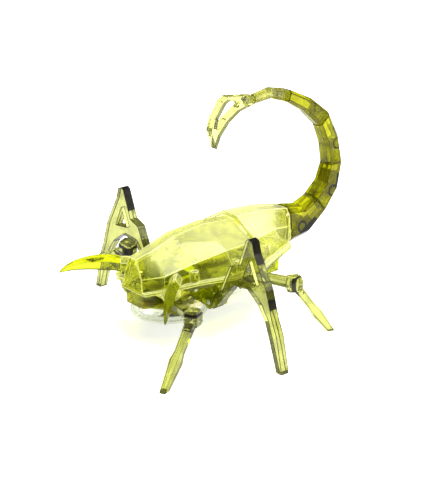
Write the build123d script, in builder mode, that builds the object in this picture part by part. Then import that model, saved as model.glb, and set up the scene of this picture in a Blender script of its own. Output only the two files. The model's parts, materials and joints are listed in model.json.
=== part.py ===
"""Six-legged walking robot toy with pincers and a jointed, rattling tail.

One motor turns a crank wheel through an idler.  A pin under the wheel's crank disc works the front
drag plate from side to side, and a pin on top of the wheel works the rear drag plate a quarter turn
later.  The front plate swings the two front legs on slanted hip pins.  The rear plate swings the two
rear legs on upright hip pins and rocks the two middle legs on fore-and-aft hip pins.

Millimetres.  +X is forward, +Y is the robot's left, +Z is up, and the soles stand on Z = 0.
Body positions are measured from the plane of the middle feet, which stands at BODY_X.
"""

import os
from math import atan2, cos, degrees, hypot, radians, sin

from build123d import *

os.makedirs("parts", exist_ok=True)

# ------------------------------------------------------------------ driving dimensions
BODY_X = 14.2            # plane of the middle feet, measured from mid length of the whole toy

# fits
RUNNING = 0.07           # radial clearance of a pin in its bore
SIDE_GAP = 0.3           # gap between faces that slide past each other
SLOT_PLAY = 0.25         # play of a drive pin across its slot
CRANK_GAP = 0.3          # axial gap between a crank pin and its yoke

# walls
SHELL_WALL = 1.0         # covers and tray
CLEAR_WALL = 0.8         # clear belly housing

# stacking heights
FLOOR_Z = 12.4           # underside of the tray floor
FLOOR_T = 1.0
FRONT_PLATE_Z = 13.75    # underside of the front drag plate
PLATE_T = 1.1            # both drag plates
DECK_Z = 18.6            # underside of the gearbox deck
DECK_T = 1.0
LOW_GEAR_Z = 20.0        # motor pinion and the idler's large gear
LOW_GEAR_T = 1.2
HIGH_GEAR_Z = 21.6       # the idler's small gear and the crank wheel
HIGH_GEAR_T = 1.2
REAR_PLATE_Z = 23.6      # underside of the rear drag plate

# gear train, on one line along X
MODULE = 0.5
WHEEL_TEETH = 28
IDLER_SMALL_TEETH = 10
IDLER_LARGE_TEETH = 22
PINION_TEETH = 10
WHEEL_X = -9.0
IDLER_X = WHEEL_X - MODULE * (WHEEL_TEETH + IDLER_SMALL_TEETH) / 2
MOTOR_X = IDLER_X - MODULE * (IDLER_LARGE_TEETH + PINION_TEETH) / 2
MOTOR_R = 4.0
MOTOR_SHAFT_R = 0.5
WHEEL_SHAFT_R = 1.2
IDLER_AXLE_R = 0.6
CRANK_DISC_R = 3.6
CRANK_DISC_T = 1.2
CRANK_PIN_R = 0.8
HORN_END_R = 1.4

# hips and the travel of the legs
HIP_PIN_R = 0.9
HUB_R = 2.2
FRONT_HORN_R = 5.0       # hip axis to drive pin
REAR_HORN_R = 4.6
HORN_T = 1.1
DRIVE_PIN_R = 0.8
FRONT_HIP = (14.0, 11.5, 15.5)
FRONT_LEAN = 19.0        # degrees that the front hip pins lean forward
FRONT_SWING = 28.0       # degrees either side of mid stroke
REAR_HIP = (-19.0, 9.0)
REAR_SWING = 20.0
MIDDLE_HIP = (14.5, 13.5)
MIDDLE_HORN = (6.9, 20.8)
MIDDLE_HUB_R = 2.4
FINGER_R = 0.7           # upright finger that takes a middle leg to the rear drag plate
FRONT_STROKE = FRONT_HORN_R * sin(radians(FRONT_SWING))
REAR_STROKE = REAR_HORN_R * sin(radians(REAR_SWING))

# hub heights
REAR_HUB_Z = FLOOR_Z + FLOOR_T + SIDE_GAP
REAR_HORN_Z = REAR_PLATE_Z - SIDE_GAP - HORN_T
FRONT_HUB_HALF = 1.8
EAR_T = 1.0              # ears that hold the front hip pins

# legs: knee and sole, and the limb's width and depth from hub to sole
FRONT_KNEE = (18.3, 26.0)
FRONT_KNEE_Z = (14.0, 18.8)
FRONT_SOLE = (34.6, 32.8)
FRONT_ARM_DROP = 0.35    # front arm's middle below the middle of its hub
REAR_KNEE = (-22.3, 25.2)
REAR_KNEE_Z = (14.2, 18.7)
REAR_SOLE = (-32.8, 31.0)
REAR_ARM_Z = 15.4        # rear arm's middle where it leaves its hub
KNEE_SIZE = (5.2, 4.6)
KNEE_WAIST = 1.2         # height of the knee block's tapered ends
KNEE_CORNER = 0.8
ARM_SIZE = (3.0, 2.4)
ELBOW_SIZE = (3.4, 3.0)
SHIN_SIZE = (3.0, 2.8)
CALF_SIZE = (2.7, 2.5)
ANKLE_SIZE = (3.6, 3.3)
SOLE_SIZE = (2.0, 1.8)
ARM_SHARE = 0.06         # arm's start, calf and ankle as shares of the way to the next joint
CALF_SHARE = 0.48
ANKLE_SHARE = 0.6
LIMB_CORNER = 0.16       # chamfer as a share of a limb's depth

# middle legs, flat frames across the body: (y, z) outlines from the hub round the foot and the peak
A_FRAME_T = 2.8
MIDDLE_ROOT = ((1.4, -1.9), (0.6, 2.3))      # lower and upper start of the frame, from the hip
MIDDLE_OUTLINE = [
    (24.6, 21.8),
    (30.6, 22.4),
    (35.6, 18.8),
    (38.6, 14.6),
    (40.6, 9.4),
    (43.9, 0.0),
    (46.2, 0.0),
    (43.8, 11.0),
    (41.4, 16.4),
    (39.0, 24.2),
    (33.6, 34.0),
    (32.6, 37.6),
    (31.0, 38.2),
    (29.9, 37.6),
    (26.4, 28.6),
    (22.5, 27.2),
    (18.1, 18.0),
]
MIDDLE_HOLE = [(31.2, 31.4), (28.5, 25.3), (34.4, 24.6)]
ROCKER_R = 1.7           # rocker arm from a middle hub up to its finger
ROCKER_END_R = 1.2

# battery cup
CUP_X = 6.8
CELL_R = 4.75
CELL_T = 3.6
CELL_GAP = 0.6           # between two cells
CELL_ROOM = 0.3          # between the cells and the cup
CELL_RING_R = (CELL_R + CELL_GAP / 2) / cos(radians(30))
CUP_WALL = 1.0
CUP_R = CELL_RING_R + CELL_R + CELL_ROOM + CUP_WALL
CONTACT_T = 0.2
DOOR_T = 0.6
DOOR_Z = FLOOR_Z - 2 * CONTACT_T - CELL_T - DOOR_T


# ------------------------------------------------------------------ planes
def level(z):
    """Horizontal plane at height z, centred on the middle feet."""
    return Plane(origin=(BODY_X, 0, z), x_dir=(1, 0, 0), z_dir=(0, 0, 1))


def station(x):
    """Cross-section plane at x: sketch x is to the left, sketch y is up."""
    return Plane(origin=(BODY_X + x, 0, 0), x_dir=(0, 1, 0), z_dir=(1, 0, 0))


def side_view(y=0):
    """Lengthwise upright plane at y: sketch x is forward, sketch y is up."""
    return Plane(origin=(BODY_X, y, 0), x_dir=(1, 0, 0), z_dir=(0, -1, 0))


def facing(point, direction):
    """Plane through a body point, facing along a direction that has no sideways part."""
    origin = (BODY_X + point[0], point[1], point[2])
    return Plane(origin=origin, x_dir=(0, 1, 0), z_dir=direction)


def between(a, b, share):
    """Point at a share of the way from a to b."""
    return tuple(p + (q - p) * share for p, q in zip(a, b))


# ------------------------------------------------------------------ body shells
# x, half width and height of the flange, of the shoulder and of the ridge
THORAX = [
    (20.6, 4.6, 17.0, 4.2, 22.0, 1.6, 27.8),
    (15.0, 8.4, 18.0, 8.6, 23.0, 1.9, 29.2),
    (6.0, 12.6, 19.4, 10.4, 25.2, 2.0, 32.2),
    (-6.0, 17.4, 20.0, 12.4, 27.4, 1.8, 33.4),
    (-17.2, 16.0, 20.0, 12.0, 27.6, 1.6, 32.4),
]
ABDOMEN = [
    (-17.6, 16.0, 20.0, 12.4, 28.4, 3.4, 33.6),
    (-29.5, 9.6, 19.8, 8.6, 28.0, 3.2, 33.0),
    (-39.5, 3.9, 19.0, 4.6, 25.6, 3.0, 31.2),
]
FLANGE_LIP = 1.3
FLANGE_T = 0.9
RIM_T = 0.9              # tray rim under the flange


def dome_outline(row, wall=0.0, drop=0.0):
    """Six corners of a cover's cross-section, or of its inside when a wall is given."""
    _, flange_y, flange_z, shoulder_y, shoulder_z, ridge_y, ridge_z = row
    half = [
        (flange_y - wall, flange_z - drop),
        (shoulder_y - wall, shoulder_z - 0.5 * wall),
        (max(ridge_y - 0.3 * wall, 0.4), ridge_z - wall),
    ]
    return half + [(-y, z) for y, z in reversed(half)]


def lip_outline(row, hand):
    """Flange lip on one side of a cover's lower edge."""
    _, flange_y, flange_z = row[:3]
    inner = flange_y - SHELL_WALL
    outer = flange_y + FLANGE_LIP
    corners = [
        (inner, flange_z),
        (outer, flange_z),
        (outer, flange_z + FLANGE_T),
        (inner, flange_z + FLANGE_T),
    ]
    return [(hand * y, z) for y, z in corners]


def moved(row, x):
    """The same cross-section at another x."""
    return (x,) + tuple(row[1:])


def row_at(x):
    """Cross-section of the covers at x."""
    rows = THORAX + ABDOMEN
    for ahead, behind in zip(rows, rows[1:]):
        if x >= behind[0]:
            return between(ahead, behind, (ahead[0] - x) / (ahead[0] - behind[0]))
    return rows[-1]


def flange_at(x):
    """Half width and height of the covers' flange at x."""
    return row_at(x)[1:3]


def under_roof(x, y):
    """Height inside the wall of the covers' roof, between the ridge and the shoulder."""
    _, _, _, shoulder_y, shoulder_z, ridge_y, ridge_z = row_at(x)
    share = max(y - ridge_y, 0) / (shoulder_y - ridge_y)
    return ridge_z + (shoulder_z - ridge_z) * share - 0.3 * SHELL_WALL


def front_hip_plane(height, hand=1):
    """Plane square to a front hip pin, at a height along the pin from the hub's middle."""
    lean = radians(FRONT_LEAN)
    origin = (
        BODY_X + FRONT_HIP[0] + height * sin(lean),
        hand * FRONT_HIP[1],
        FRONT_HIP[2] + height * cos(lean),
    )
    return Plane(origin=origin, x_dir=(cos(lean), 0, -sin(lean)), z_dir=(sin(lean), 0, cos(lean)))


def keep(builder, name):
    """Name a finished piece and write its file."""
    builder.part.label = name
    export_step(builder.part, f"parts/{name}.step")


# ------------------------------------------------------------------ pincers
PINCER_SEAM = (15.2, 13.2)           # where a pincer plugs into the thorax cover
PINCER_TURN = 44.0                   # degrees from straight ahead
PINCER_TENON_R = 1.1
PINCER_TENON = 2.6
PINCER_ROOT = 6.0                    # length of the cover's stub behind the seam
# distance from the seam, height of the middle, height and width of the claw
PINCER = [
    (0.0, 21.1, 4.5, 3.6),
    (4.4, 21.4, 4.8, 3.4),
    (10.0, 21.0, 4.1, 2.9),
    (14.8, 19.9, 2.9, 2.1),
    (19.2, 17.6, 0.6, 0.6),
]


def pincer_plane(distance, z, hand):
    """Plane across a pincer at a distance along it."""
    turn = radians(PINCER_TURN)
    ahead = (cos(turn), hand * sin(turn), 0)
    across = (-hand * sin(turn), cos(turn), 0)
    seam_x, seam_y = PINCER_SEAM
    origin = (BODY_X + seam_x + distance * ahead[0], hand * seam_y + distance * ahead[1], z)
    return Plane(origin=origin, x_dir=across, z_dir=ahead)


def claw_section(height, width):
    """Six-sided section of a pincer, with a sharp upper and a blunt lower edge."""
    half = [(0.10 * width, 0.5 * height), (0.5 * width, 0.12 * height), (0.30 * width, -0.5 * height)]
    Polygon(*half, *[(-x, y) for x, y in reversed(half)], align=None)


for hand, side_name in ((1, "left"), (-1, "right")):
    with BuildPart() as pincer:
        for distance, z, height, width in PINCER:
            with BuildSketch(pincer_plane(distance, z, hand)):
                claw_section(height, width)
        loft()
        with BuildSketch(pincer_plane(-PINCER_TENON, PINCER[0][1], hand)):
            Circle(PINCER_TENON_R)
        extrude(amount=PINCER_TENON)
    keep(pincer, f"pincer_{side_name}")

# ------------------------------------------------------------------ covers
GUIDE_R = 1.0                        # guide posts of the rear drag plate
GUIDE_X = (3.2, -20.6)
HIP_BOSS_R = 1.4
HIP_PIN_GRIP = 2.0                   # length of a rear hip pin inside its boss
COVER_SCREWS = ((6.0, 11.7), (-8.5, 14.0), (-24.2, 10.2))
SCREW_R = 0.6
SCREW_HEAD_R = 1.2
SCREW_HEAD_T = 0.8
SCREW_LENGTH = 4.0
SCREW_BOSS_R = 1.3
SCREW_BOSS_H = 4.2
EAR_R = 2.9
LOWER_EAR_R = 2.1
EAR_REACH = 4.6
BOARD_Z = 19.4
BOARD_T = 0.8
BOARD_X = (2.6, 13.2)
BOARD_HALF = 4.6
BOARD_POST = (11.4, 3.2)
SCREW_SEAT_GAP = 0.3                 # cover bosses start this far above the flange
SCREW_BORE_DROP = 0.5                # their bores start this far below it
TAIL_ROOT = (11.6, 7.8)              # height and width of the abdomen where the tail starts


def sides(places):
    """Each place on both sides of the middle plane."""
    return [(x, hand * y) for x, y in places for hand in (1, -1)]


def shell(rows, front, rear):
    """Ruled cover with flange lips and an even wall; front and rear tell how far the hollow reaches."""
    with BuildPart() as cover:
        for row in rows:
            with BuildSketch(station(row[0])):
                Polygon(*dome_outline(row), align=None)
        loft(ruled=True)
        for hand in (1, -1):
            for row in rows:
                with BuildSketch(station(row[0])):
                    Polygon(*lip_outline(row, hand), align=None)
            loft(ruled=True)
        inside = [moved(rows[0], rows[0][0] + front)] + rows[1:-1] + [moved(rows[-1], rows[-1][0] - rear)]
        for row in inside:
            with BuildSketch(station(row[0])):
                Polygon(*dome_outline(row, SHELL_WALL, 1.0), align=None)
        loft(ruled=True, mode=Mode.SUBTRACT)
    return cover.part


def rods(places, bottom, top, radius):
    """Upright round rods, one at each place."""
    with BuildPart() as bundle:
        with BuildSketch(level(bottom)):
            with Locations(*places):
                Circle(radius)
        extrude(amount=top - bottom)
    return bundle.part


def ear_sketch(hand, radius):
    """Rounded ear round a front hip pin, reaching back to the body."""
    Circle(radius)
    with Locations((0, -hand * EAR_REACH / 2)):
        Rectangle(1.6 * radius, EAR_REACH)


with BuildPart() as thorax_cover:
    add(shell(THORAX, -SHELL_WALL, 0.5))
    for hand in (1, -1):
        for distance in (-PINCER_ROOT, 0.0):
            with BuildSketch(pincer_plane(distance, PINCER[0][1], hand)):
                claw_section(PINCER[0][2], PINCER[0][3])
        loft(ruled=True)
        with BuildSketch(front_hip_plane(FRONT_HUB_HALF + SIDE_GAP, hand)):
            ear_sketch(hand, EAR_R)
        extrude(amount=EAR_T)
        with BuildSketch(front_hip_plane(FRONT_HUB_HALF + SIDE_GAP, hand)):
            Circle(HIP_PIN_R)
        extrude(amount=EAR_T, mode=Mode.SUBTRACT)
        with BuildSketch(pincer_plane(0, PINCER[0][1], hand)):
            Circle(PINCER_TENON_R)
        extrude(amount=-PINCER_TENON, mode=Mode.SUBTRACT)
    for x, y in sides(COVER_SCREWS[:2]):
        flange_z = flange_at(x)[1]
        add(rods([(x, y)], flange_z + SCREW_SEAT_GAP, flange_z + SCREW_BOSS_H, SCREW_BOSS_R))
        bore_top = flange_z + SCREW_LENGTH - RIM_T
        add(rods([(x, y)], flange_z - SCREW_BORE_DROP, bore_top, SCREW_R), mode=Mode.SUBTRACT)
    add(rods([(GUIDE_X[0], 0)], REAR_PLATE_Z - SIDE_GAP, under_roof(GUIDE_X[0], GUIDE_R), GUIDE_R))
    post_top = under_roof(BOARD_POST[0] + GUIDE_R, BOARD_POST[1] + GUIDE_R)
    add(rods(sides([BOARD_POST]), BOARD_Z + BOARD_T, post_top, GUIDE_R))
keep(thorax_cover, "thorax_cover")

# ------------------------------------------------------------------ tail, from the abdomen to the tip
# seam between links: x, z, height and width there, corner chamfer, hinge pin's distance past the
# seam, and how far the next link's middle stands outside its chord
TAIL = [
    (-40.4, 25.1, 12.2, 8.0, 1.8, 4.2, 2.0),
    (-54.1, 29.1, 8.2, 7.0, 1.5, 5.5, 1.8),
    (-61.2, 41.9, 6.6, 5.6, 1.2, 6.0, 1.1),
    (-56.1, 57.4, 5.6, 4.8, 1.0, 5.0, 1.0),
    (-40.9, 67.7, 3.8, 3.8, 0.8, 4.0, 1.4),
    (-26.7, 68.9, 2.8, 2.8, 0.6, 3.0, 0.5),
]
TAIL_START = (-1.0, 0.1)             # direction in which the tail leaves the abdomen
LINK_GAP = 0.6
TONGUE_SHARE = 0.32                  # tongue's thickness as a share of the link's width
TONGUE_HALF = 1.6                    # tongue's half height where the link is deep enough
TONGUE_WALL = 0.25                   # least wall above and below a tongue
SLOT_ROOM = 0.6                      # slot round a tongue's edge
SLOT_MOUTH = 1.0                     # slot's start before the seam
TAIL_PIN_R = 0.6
TAIL_PIN_INSET = 0.5                 # hinge pin's end inside the link's side
TAIL_PLAY = 0.3                      # each side of a tongue

# stinger: outline over the top to the tip and back, and the loop's opening
STINGER_T = 2.6
STINGER_HALF = 1.4                   # half height at its seam
STINGER_TIP = (-11.4, 56.0)
STINGER_TOP = [(-16.0, 71.8), (-13.8, 70.6), (-10.5, 66.1), (-9.4, 61.9)]
STINGER_UNDER = [(-13.2, 59.8), (-16.6, 63.6), (-21.0, 66.3)]
STINGER_HOLE = [
    (-20.4, 69.3),
    (-17.0, 70.4),
    (-15.2, 69.5),
    (-12.2, 65.5),
    (-11.4, 62.2),
    (-12.7, 62.0),
    (-15.0, 64.9),
    (-19.2, 67.3),
    (-20.4, 67.9),
]


def unit(a, b):
    """Unit vector from a to b in the side view."""
    span = hypot(b[0] - a[0], b[1] - a[1])
    return ((b[0] - a[0]) / span, (b[1] - a[1]) / span)


def seam_direction(index):
    """Direction of the tail at a seam, from the seams before and after it."""
    if index == 0:
        return unit((0, 0), TAIL_START)
    after = TAIL[index + 1] if index + 1 < len(TAIL) else STINGER_TOP[1]
    return unit(TAIL[index - 1], after)


def link_middle(index):
    """Middle of a link's centre line, outside its chord, with the chord's direction."""
    lower, upper = TAIL[index], TAIL[index + 1]
    chord = unit(lower, upper)
    return step(between(lower[:2], upper[:2], 0.5), (-chord[1], chord[0]), lower[6]), chord


def knuckle_direction(index):
    """Direction from a seam along the next link's centre line."""
    if index + 1 < len(TAIL):
        return unit(TAIL[index], link_middle(index)[0])
    return seam_direction(index)


def step(point, direction, amount):
    """Point moved along a direction."""
    return (point[0] + direction[0] * amount, point[1] + direction[1] * amount)


def tail_plane(point, direction):
    """Plane across the tail: sketch x is sideways, sketch y points to the inside of the curl."""
    return Plane(
        origin=(BODY_X + point[0], 0, point[1]), x_dir=(0, 1, 0), z_dir=(direction[0], 0, direction[1])
    )


def link_section(height, width, corner):
    """Chamfered box section of a tail link."""
    Rectangle(width, height)
    chamfer(vertices(), corner)


def tail_knuckle(index, start, half, thick, bore):
    """Flat bar from before a seam to round its hinge pin; used for tongues and, larger, for their slots."""
    x, z, reach = TAIL[index][0], TAIL[index][1], TAIL[index][5]
    ahead = knuckle_direction(index)
    root = step((x, z), ahead, start)
    along = Plane(origin=(BODY_X + root[0], 0, root[1]), x_dir=(ahead[0], 0, ahead[1]), z_dir=(0, -1, 0))
    with BuildPart() as bar:
        with BuildSketch(along):
            with Locations(((reach - start) / 2, 0)):
                Rectangle(reach - start, 2 * half)
            with Locations((reach - start, 0)):
                Circle(half)
                if bore:
                    Circle(bore, mode=Mode.SUBTRACT)
        extrude(amount=thick / 2, both=True)
    return bar.part


def tongue(index):
    """Tongue with an eye that reaches past a seam into the next link."""
    height, width = TAIL[index][2:4]
    half = min(TONGUE_HALF, height / 2 - TONGUE_WALL)
    return tail_knuckle(index, -LINK_GAP, half, TONGUE_SHARE * width, TAIL_PIN_R + RUNNING)


def socket(index):
    """Slot at a link's lower end that takes the tongue before it."""
    height, width = TAIL[index][2:4]
    half = min(TONGUE_HALF, height / 2 - TONGUE_WALL) + SLOT_ROOM
    return tail_knuckle(index, -SLOT_MOUTH, half, TONGUE_SHARE * width + 2 * TAIL_PLAY, 0)


def tail_pin_solid(index):
    """Hinge pin past a seam."""
    x, z, width, reach = TAIL[index][0], TAIL[index][1], TAIL[index][3], TAIL[index][5]
    with BuildPart() as pin:
        with BuildSketch(side_view()):
            with Locations(step((x, z), knuckle_direction(index), reach)):
                Circle(TAIL_PIN_R)
        extrude(amount=0.5 * width - TAIL_PIN_INSET, both=True)
    return pin.part


with BuildPart() as abdomen_cover:
    add(shell(ABDOMEN, 0.5, -SHELL_WALL))
    for x, y in sides(COVER_SCREWS[2:]):
        flange_z = flange_at(x)[1]
        add(rods([(x, y)], flange_z + SCREW_SEAT_GAP, flange_z + SCREW_BOSS_H, SCREW_BOSS_R))
        bore_top = flange_z + SCREW_LENGTH - RIM_T
        add(rods([(x, y)], flange_z - SCREW_BORE_DROP, bore_top, SCREW_R), mode=Mode.SUBTRACT)
    boss_z = REAR_HORN_Z + HORN_T + SIDE_GAP
    boss_top = under_roof(REAR_HIP[0], REAR_HIP[1] + HIP_BOSS_R)
    add(rods(sides([REAR_HIP]), boss_z, boss_top, HIP_BOSS_R))
    add(rods(sides([REAR_HIP]), boss_z, boss_z + HIP_PIN_GRIP, HIP_PIN_R), mode=Mode.SUBTRACT)
    add(rods([(GUIDE_X[1], 0)], REAR_PLATE_Z - SIDE_GAP, under_roof(GUIDE_X[1], GUIDE_R), GUIDE_R))
    with BuildSketch(station(ABDOMEN[-1][0] + SHELL_WALL)):
        with Locations((0, TAIL[0][1])):
            link_section(TAIL_ROOT[0], TAIL_ROOT[1], TAIL[0][4])
    with BuildSketch(tail_plane(step(TAIL[0][:2], seam_direction(0), -LINK_GAP / 2), seam_direction(0))):
        link_section(*TAIL[0][2:5])
    loft(ruled=True)
    add(tongue(0))
keep(abdomen_cover, "abdomen_cover")

for index in range(len(TAIL) - 1):
    lower, upper = TAIL[index], TAIL[index + 1]
    middle, chord = link_middle(index)
    sizes = between(lower[2:5], upper[2:5], 0.5)
    with BuildPart() as link:
        with BuildSketch(tail_plane(step(lower[:2], seam_direction(index), LINK_GAP / 2), seam_direction(index))):
            link_section(*lower[2:5])
        with BuildSketch(tail_plane(middle, chord)):
            link_section(*sizes)
        ahead = seam_direction(index + 1)
        with BuildSketch(tail_plane(step(upper[:2], ahead, -LINK_GAP / 2), ahead)):
            link_section(*upper[2:5])
        loft(ruled=True)
        add(tongue(index + 1))
        add(socket(index), mode=Mode.SUBTRACT)
        add(tail_pin_solid(index), mode=Mode.SUBTRACT)
    keep(link, f"tail_link_{index + 1}")

for index in range(len(TAIL)):
    with BuildPart() as tail_pin:
        add(tail_pin_solid(index))
    keep(tail_pin, f"tail_pin_{index + 1}")

with BuildPart() as stinger:
    with BuildSketch(side_view()):
        root_x, root_z = step(TAIL[-1][:2], seam_direction(5), LINK_GAP / 2)
        upper = [(root_x, root_z + STINGER_HALF)] + STINGER_TOP + [STINGER_TIP]
        Polygon(*upper, *STINGER_UNDER, (root_x, root_z - STINGER_HALF), align=None)
        Polygon(*STINGER_HOLE, align=None, mode=Mode.SUBTRACT)
    extrude(amount=STINGER_T / 2, both=True)
    add(socket(5), mode=Mode.SUBTRACT)
    add(tail_pin_solid(5), mode=Mode.SUBTRACT)
keep(stinger, "stinger")

# ------------------------------------------------------------------ chassis tray
# x and half width at the floor
TRAY = [
    (20.0, 3.8),
    (14.5, 6.8),
    (6.0, 9.9),
    (-6.0, 10.3),
    (-14.0, 8.4),
    (-20.0, 6.9),
    (-33.0, 6.2),
]
TRAY_LEAN = 0.08                     # how far a side wall leans out for each unit of height
TRAY_GAP = 0.2                       # tray's top below the covers' flange
TAIL_FLOOR = ((-17.4, 7.0), (-29.5, 5.8), (-33.0, 5.6))   # x and inner edge of the rear rim
RIM_LAP = 1.0                        # rim's overlap on the tray's side wall
MOTOR_FIT = 0.1                      # radial clearance of the motor can in the tray floor
PEG_R = 0.9                          # guide pegs of the front drag plate
PEG_X = (-2.6, 3.4)
PEG_PROUD = 0.4                      # pegs above the front drag plate
PEG_TOP = FRONT_PLATE_Z + PLATE_T + PEG_PROUD
DECK_POST_R = 1.3
DECK_POSTS = ((-15.2, 4.0), (-21.5, 4.0))
LUG_R = 2.1                          # lugs fore and aft of a middle hub
LUG_T = 1.2
LUG_X = A_FRAME_T / 2 + SIDE_GAP
LUG_FOOT = (9.0, 0.4)                # lug's inner foot, and its drop under the floor at the hip
LUG_SHOULDER = (10.2, 1.0)           # lug's upper inner corner, and its rise over the lug's end
BAR_X = 8.7                          # cross bar of the front drag plate
BAR_HALF = 2.05
# cut-outs on each side: x, y, length and width, then bottom and top
ROCKER_NOTCH = (0, 11.0, 2 * LUG_X + 0.8, 4.8, MIDDLE_HIP[1] + 0.7, MIDDLE_HIP[1] + 8.7)
HUB_NOTCH = (FRONT_HIP[0] + 0.3, FRONT_HIP[1] - 0.3, 9.4, 12.4, FRONT_HIP[2] + 0.8, FRONT_HIP[2] + 4.8)
BAR_WINDOW = (FRONT_HIP[0] - 1.6, FRONT_HIP[1], 13.0, 11.0, FLOOR_Z + FLOOR_T, FRONT_HIP[2] + 2.2)
LUG_BLOCK = 12.0                     # square block that parts the two lugs


def tray_outline(row, wall=0.0):
    """Cross-section of the tray, or of its inside above the floor when a wall is given."""
    x, floor_half = row
    top = flange_at(x)[1] - TRAY_GAP
    bottom = FLOOR_Z
    if wall:
        bottom = FLOOR_Z + FLOOR_T
        top = top + SCREW_BOSS_H
    inner = floor_half - wall
    half = [
        (inner + TRAY_LEAN * (bottom - FLOOR_Z), bottom),
        (inner + TRAY_LEAN * (top - FLOOR_Z), top),
    ]
    return half + [(-y, z) for y, z in reversed(half)]


def rim_outline(x, inner, hand):
    """Rim of the tray under the covers' flange on one side."""
    flange_y, flange_z = flange_at(x)
    corners = [
        (inner, flange_z - RIM_T),
        (flange_y + FLANGE_LIP, flange_z - RIM_T),
        (flange_y + FLANGE_LIP, flange_z),
        (inner, flange_z),
    ]
    return [(hand * y, z) for y, z in corners]


def front_hub_room(hand, radius, low, high):
    """Round bar along a front hip pin."""
    with BuildPart() as bar:
        with BuildSketch(front_hip_plane(low, hand)):
            Circle(radius)
        extrude(amount=high - low)
    return bar.part


def cut_out(hand, x, y, length, width, bottom, top):
    """Square-cornered block on one side of the tray."""
    with BuildPart() as block:
        with BuildSketch(level(bottom)):
            with Locations((x, hand * y)):
                Rectangle(length, width)
        extrude(amount=top - bottom)
    return block.part


def middle_lug(hand):
    """Lug beside a middle hub, reaching back to the tray."""
    with BuildPart() as lug:
        with BuildSketch(station(0)):
            with BuildLine():
                Polyline(
                    (hand * LUG_FOOT[0], FLOOR_Z),
                    (hand * MIDDLE_HIP[0], FLOOR_Z - LUG_FOOT[1]),
                    (hand * MIDDLE_HIP[0], MIDDLE_HIP[1] + LUG_R),
                    (hand * LUG_SHOULDER[0], MIDDLE_HIP[1] + LUG_R + LUG_SHOULDER[1]),
                    close=True,
                )
            make_face()
            with Locations((hand * MIDDLE_HIP[0], MIDDLE_HIP[1])):
                Circle(LUG_R)
                Circle(HIP_PIN_R, mode=Mode.SUBTRACT)
        extrude(amount=LUG_X + LUG_T, both=True)
        with BuildSketch(station(0)):
            with Locations((hand * MIDDLE_HIP[0], MIDDLE_HIP[1])):
                Rectangle(LUG_BLOCK, LUG_BLOCK)
        extrude(amount=LUG_X, both=True, mode=Mode.SUBTRACT)
    return lug.part


with BuildPart() as chassis_tray:
    for row in TRAY:
        with BuildSketch(station(row[0])):
            Polygon(*tray_outline(row), align=None)
    loft(ruled=True)
    for hand in (1, -1):
        # rim beside the tray, then the floor under the tail end
        for row in TRAY[:5]:
            with BuildSketch(station(row[0])):
                Polygon(*rim_outline(row[0], row[1] - RIM_LAP, hand), align=None)
        loft(ruled=True)
        for x, half in (TRAY[4], *TAIL_FLOOR):
            with BuildSketch(station(x)):
                Polygon(*rim_outline(x, half, hand), align=None)
        loft(ruled=True)
    for x in (TRAY[-1][0], ABDOMEN[-1][0]):
        half = rim_outline(x, 0.0, 1)
        with BuildSketch(station(x)):
            Polygon(*half[1:3], *[(-y, z) for y, z in reversed(half[1:3])], align=None)
    loft(ruled=True)
    inside = [moved(TRAY[0], TRAY[0][0] - SHELL_WALL)] + TRAY[1:-1]
    inside.append(moved(TRAY[-1], TRAY[-1][0] + SHELL_WALL))
    for row in inside:
        with BuildSketch(station(row[0])):
            Polygon(*tray_outline(row, SHELL_WALL), align=None)
    loft(ruled=True, mode=Mode.SUBTRACT)
    # round seat over the battery cup
    with BuildSketch(level(FLOOR_Z)):
        with Locations((CUP_X, 0)):
            Circle(CUP_R)
    extrude(amount=FLOOR_T)
    for hand in (1, -1):
        add(middle_lug(hand))
        # notches for a middle rocker and a front hub, and a window for the cross bar
        for size in (ROCKER_NOTCH, HUB_NOTCH, BAR_WINDOW):
            add(cut_out(hand, *size), mode=Mode.SUBTRACT)
        hub_low = -FRONT_HUB_HALF - SIDE_GAP
        add(front_hub_room(hand, HUB_R + SIDE_GAP, hub_low, 2 * FRONT_HUB_HALF), mode=Mode.SUBTRACT)
        with BuildSketch(front_hip_plane(hub_low - EAR_T, hand)):
            ear_sketch(hand, LOWER_EAR_R)
        extrude(amount=EAR_T)
        add(front_hub_room(hand, HIP_PIN_R, 2 * hub_low, 0), mode=Mode.SUBTRACT)
    add(rods([(CUP_X, 0)], DOOR_Z, FLOOR_Z, CUP_R), mode=Mode.SUBTRACT)
    add(rods(sides([REAR_HIP]), FLOOR_Z, FLOOR_Z + FLOOR_T, EAR_R))
    add(rods(sides([REAR_HIP]), FLOOR_Z + FLOOR_T, REAR_HORN_Z, HUB_R + SIDE_GAP), mode=Mode.SUBTRACT)
    add(rods(sides([REAR_HIP]), FLOOR_Z, FLOOR_Z + FLOOR_T, HIP_PIN_R), mode=Mode.SUBTRACT)
    add(rods([(x, 0) for x in PEG_X], FLOOR_Z + FLOOR_T, PEG_TOP, PEG_R))
    add(rods(sides(DECK_POSTS), FLOOR_Z + FLOOR_T, DECK_Z, DECK_POST_R))
    add(rods([(MOTOR_X, 0)], FLOOR_Z, FLOOR_Z + FLOOR_T, MOTOR_R + MOTOR_FIT), mode=Mode.SUBTRACT)
    for x, y in COVER_SCREWS:
        bottom = flange_at(x)[1] - RIM_T - SCREW_BORE_DROP
        top = flange_at(x)[1] + SCREW_BORE_DROP
        add(rods(sides([(x, y)]), bottom, top, SCREW_R), mode=Mode.SUBTRACT)
keep(chassis_tray, "chassis_tray")

for number, (x, y) in enumerate(sides(COVER_SCREWS), start=1):
    seat = flange_at(x)[1] - RIM_T
    with BuildPart() as cover_screw:
        add(rods([(x, y)], seat - SCREW_HEAD_T, seat + SCREW_LENGTH, SCREW_R))
        add(rods([(x, y)], seat - 0.2 - SCREW_HEAD_T, seat - 0.2, SCREW_HEAD_R))
    keep(cover_screw, f"cover_screw_{number}")

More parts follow.
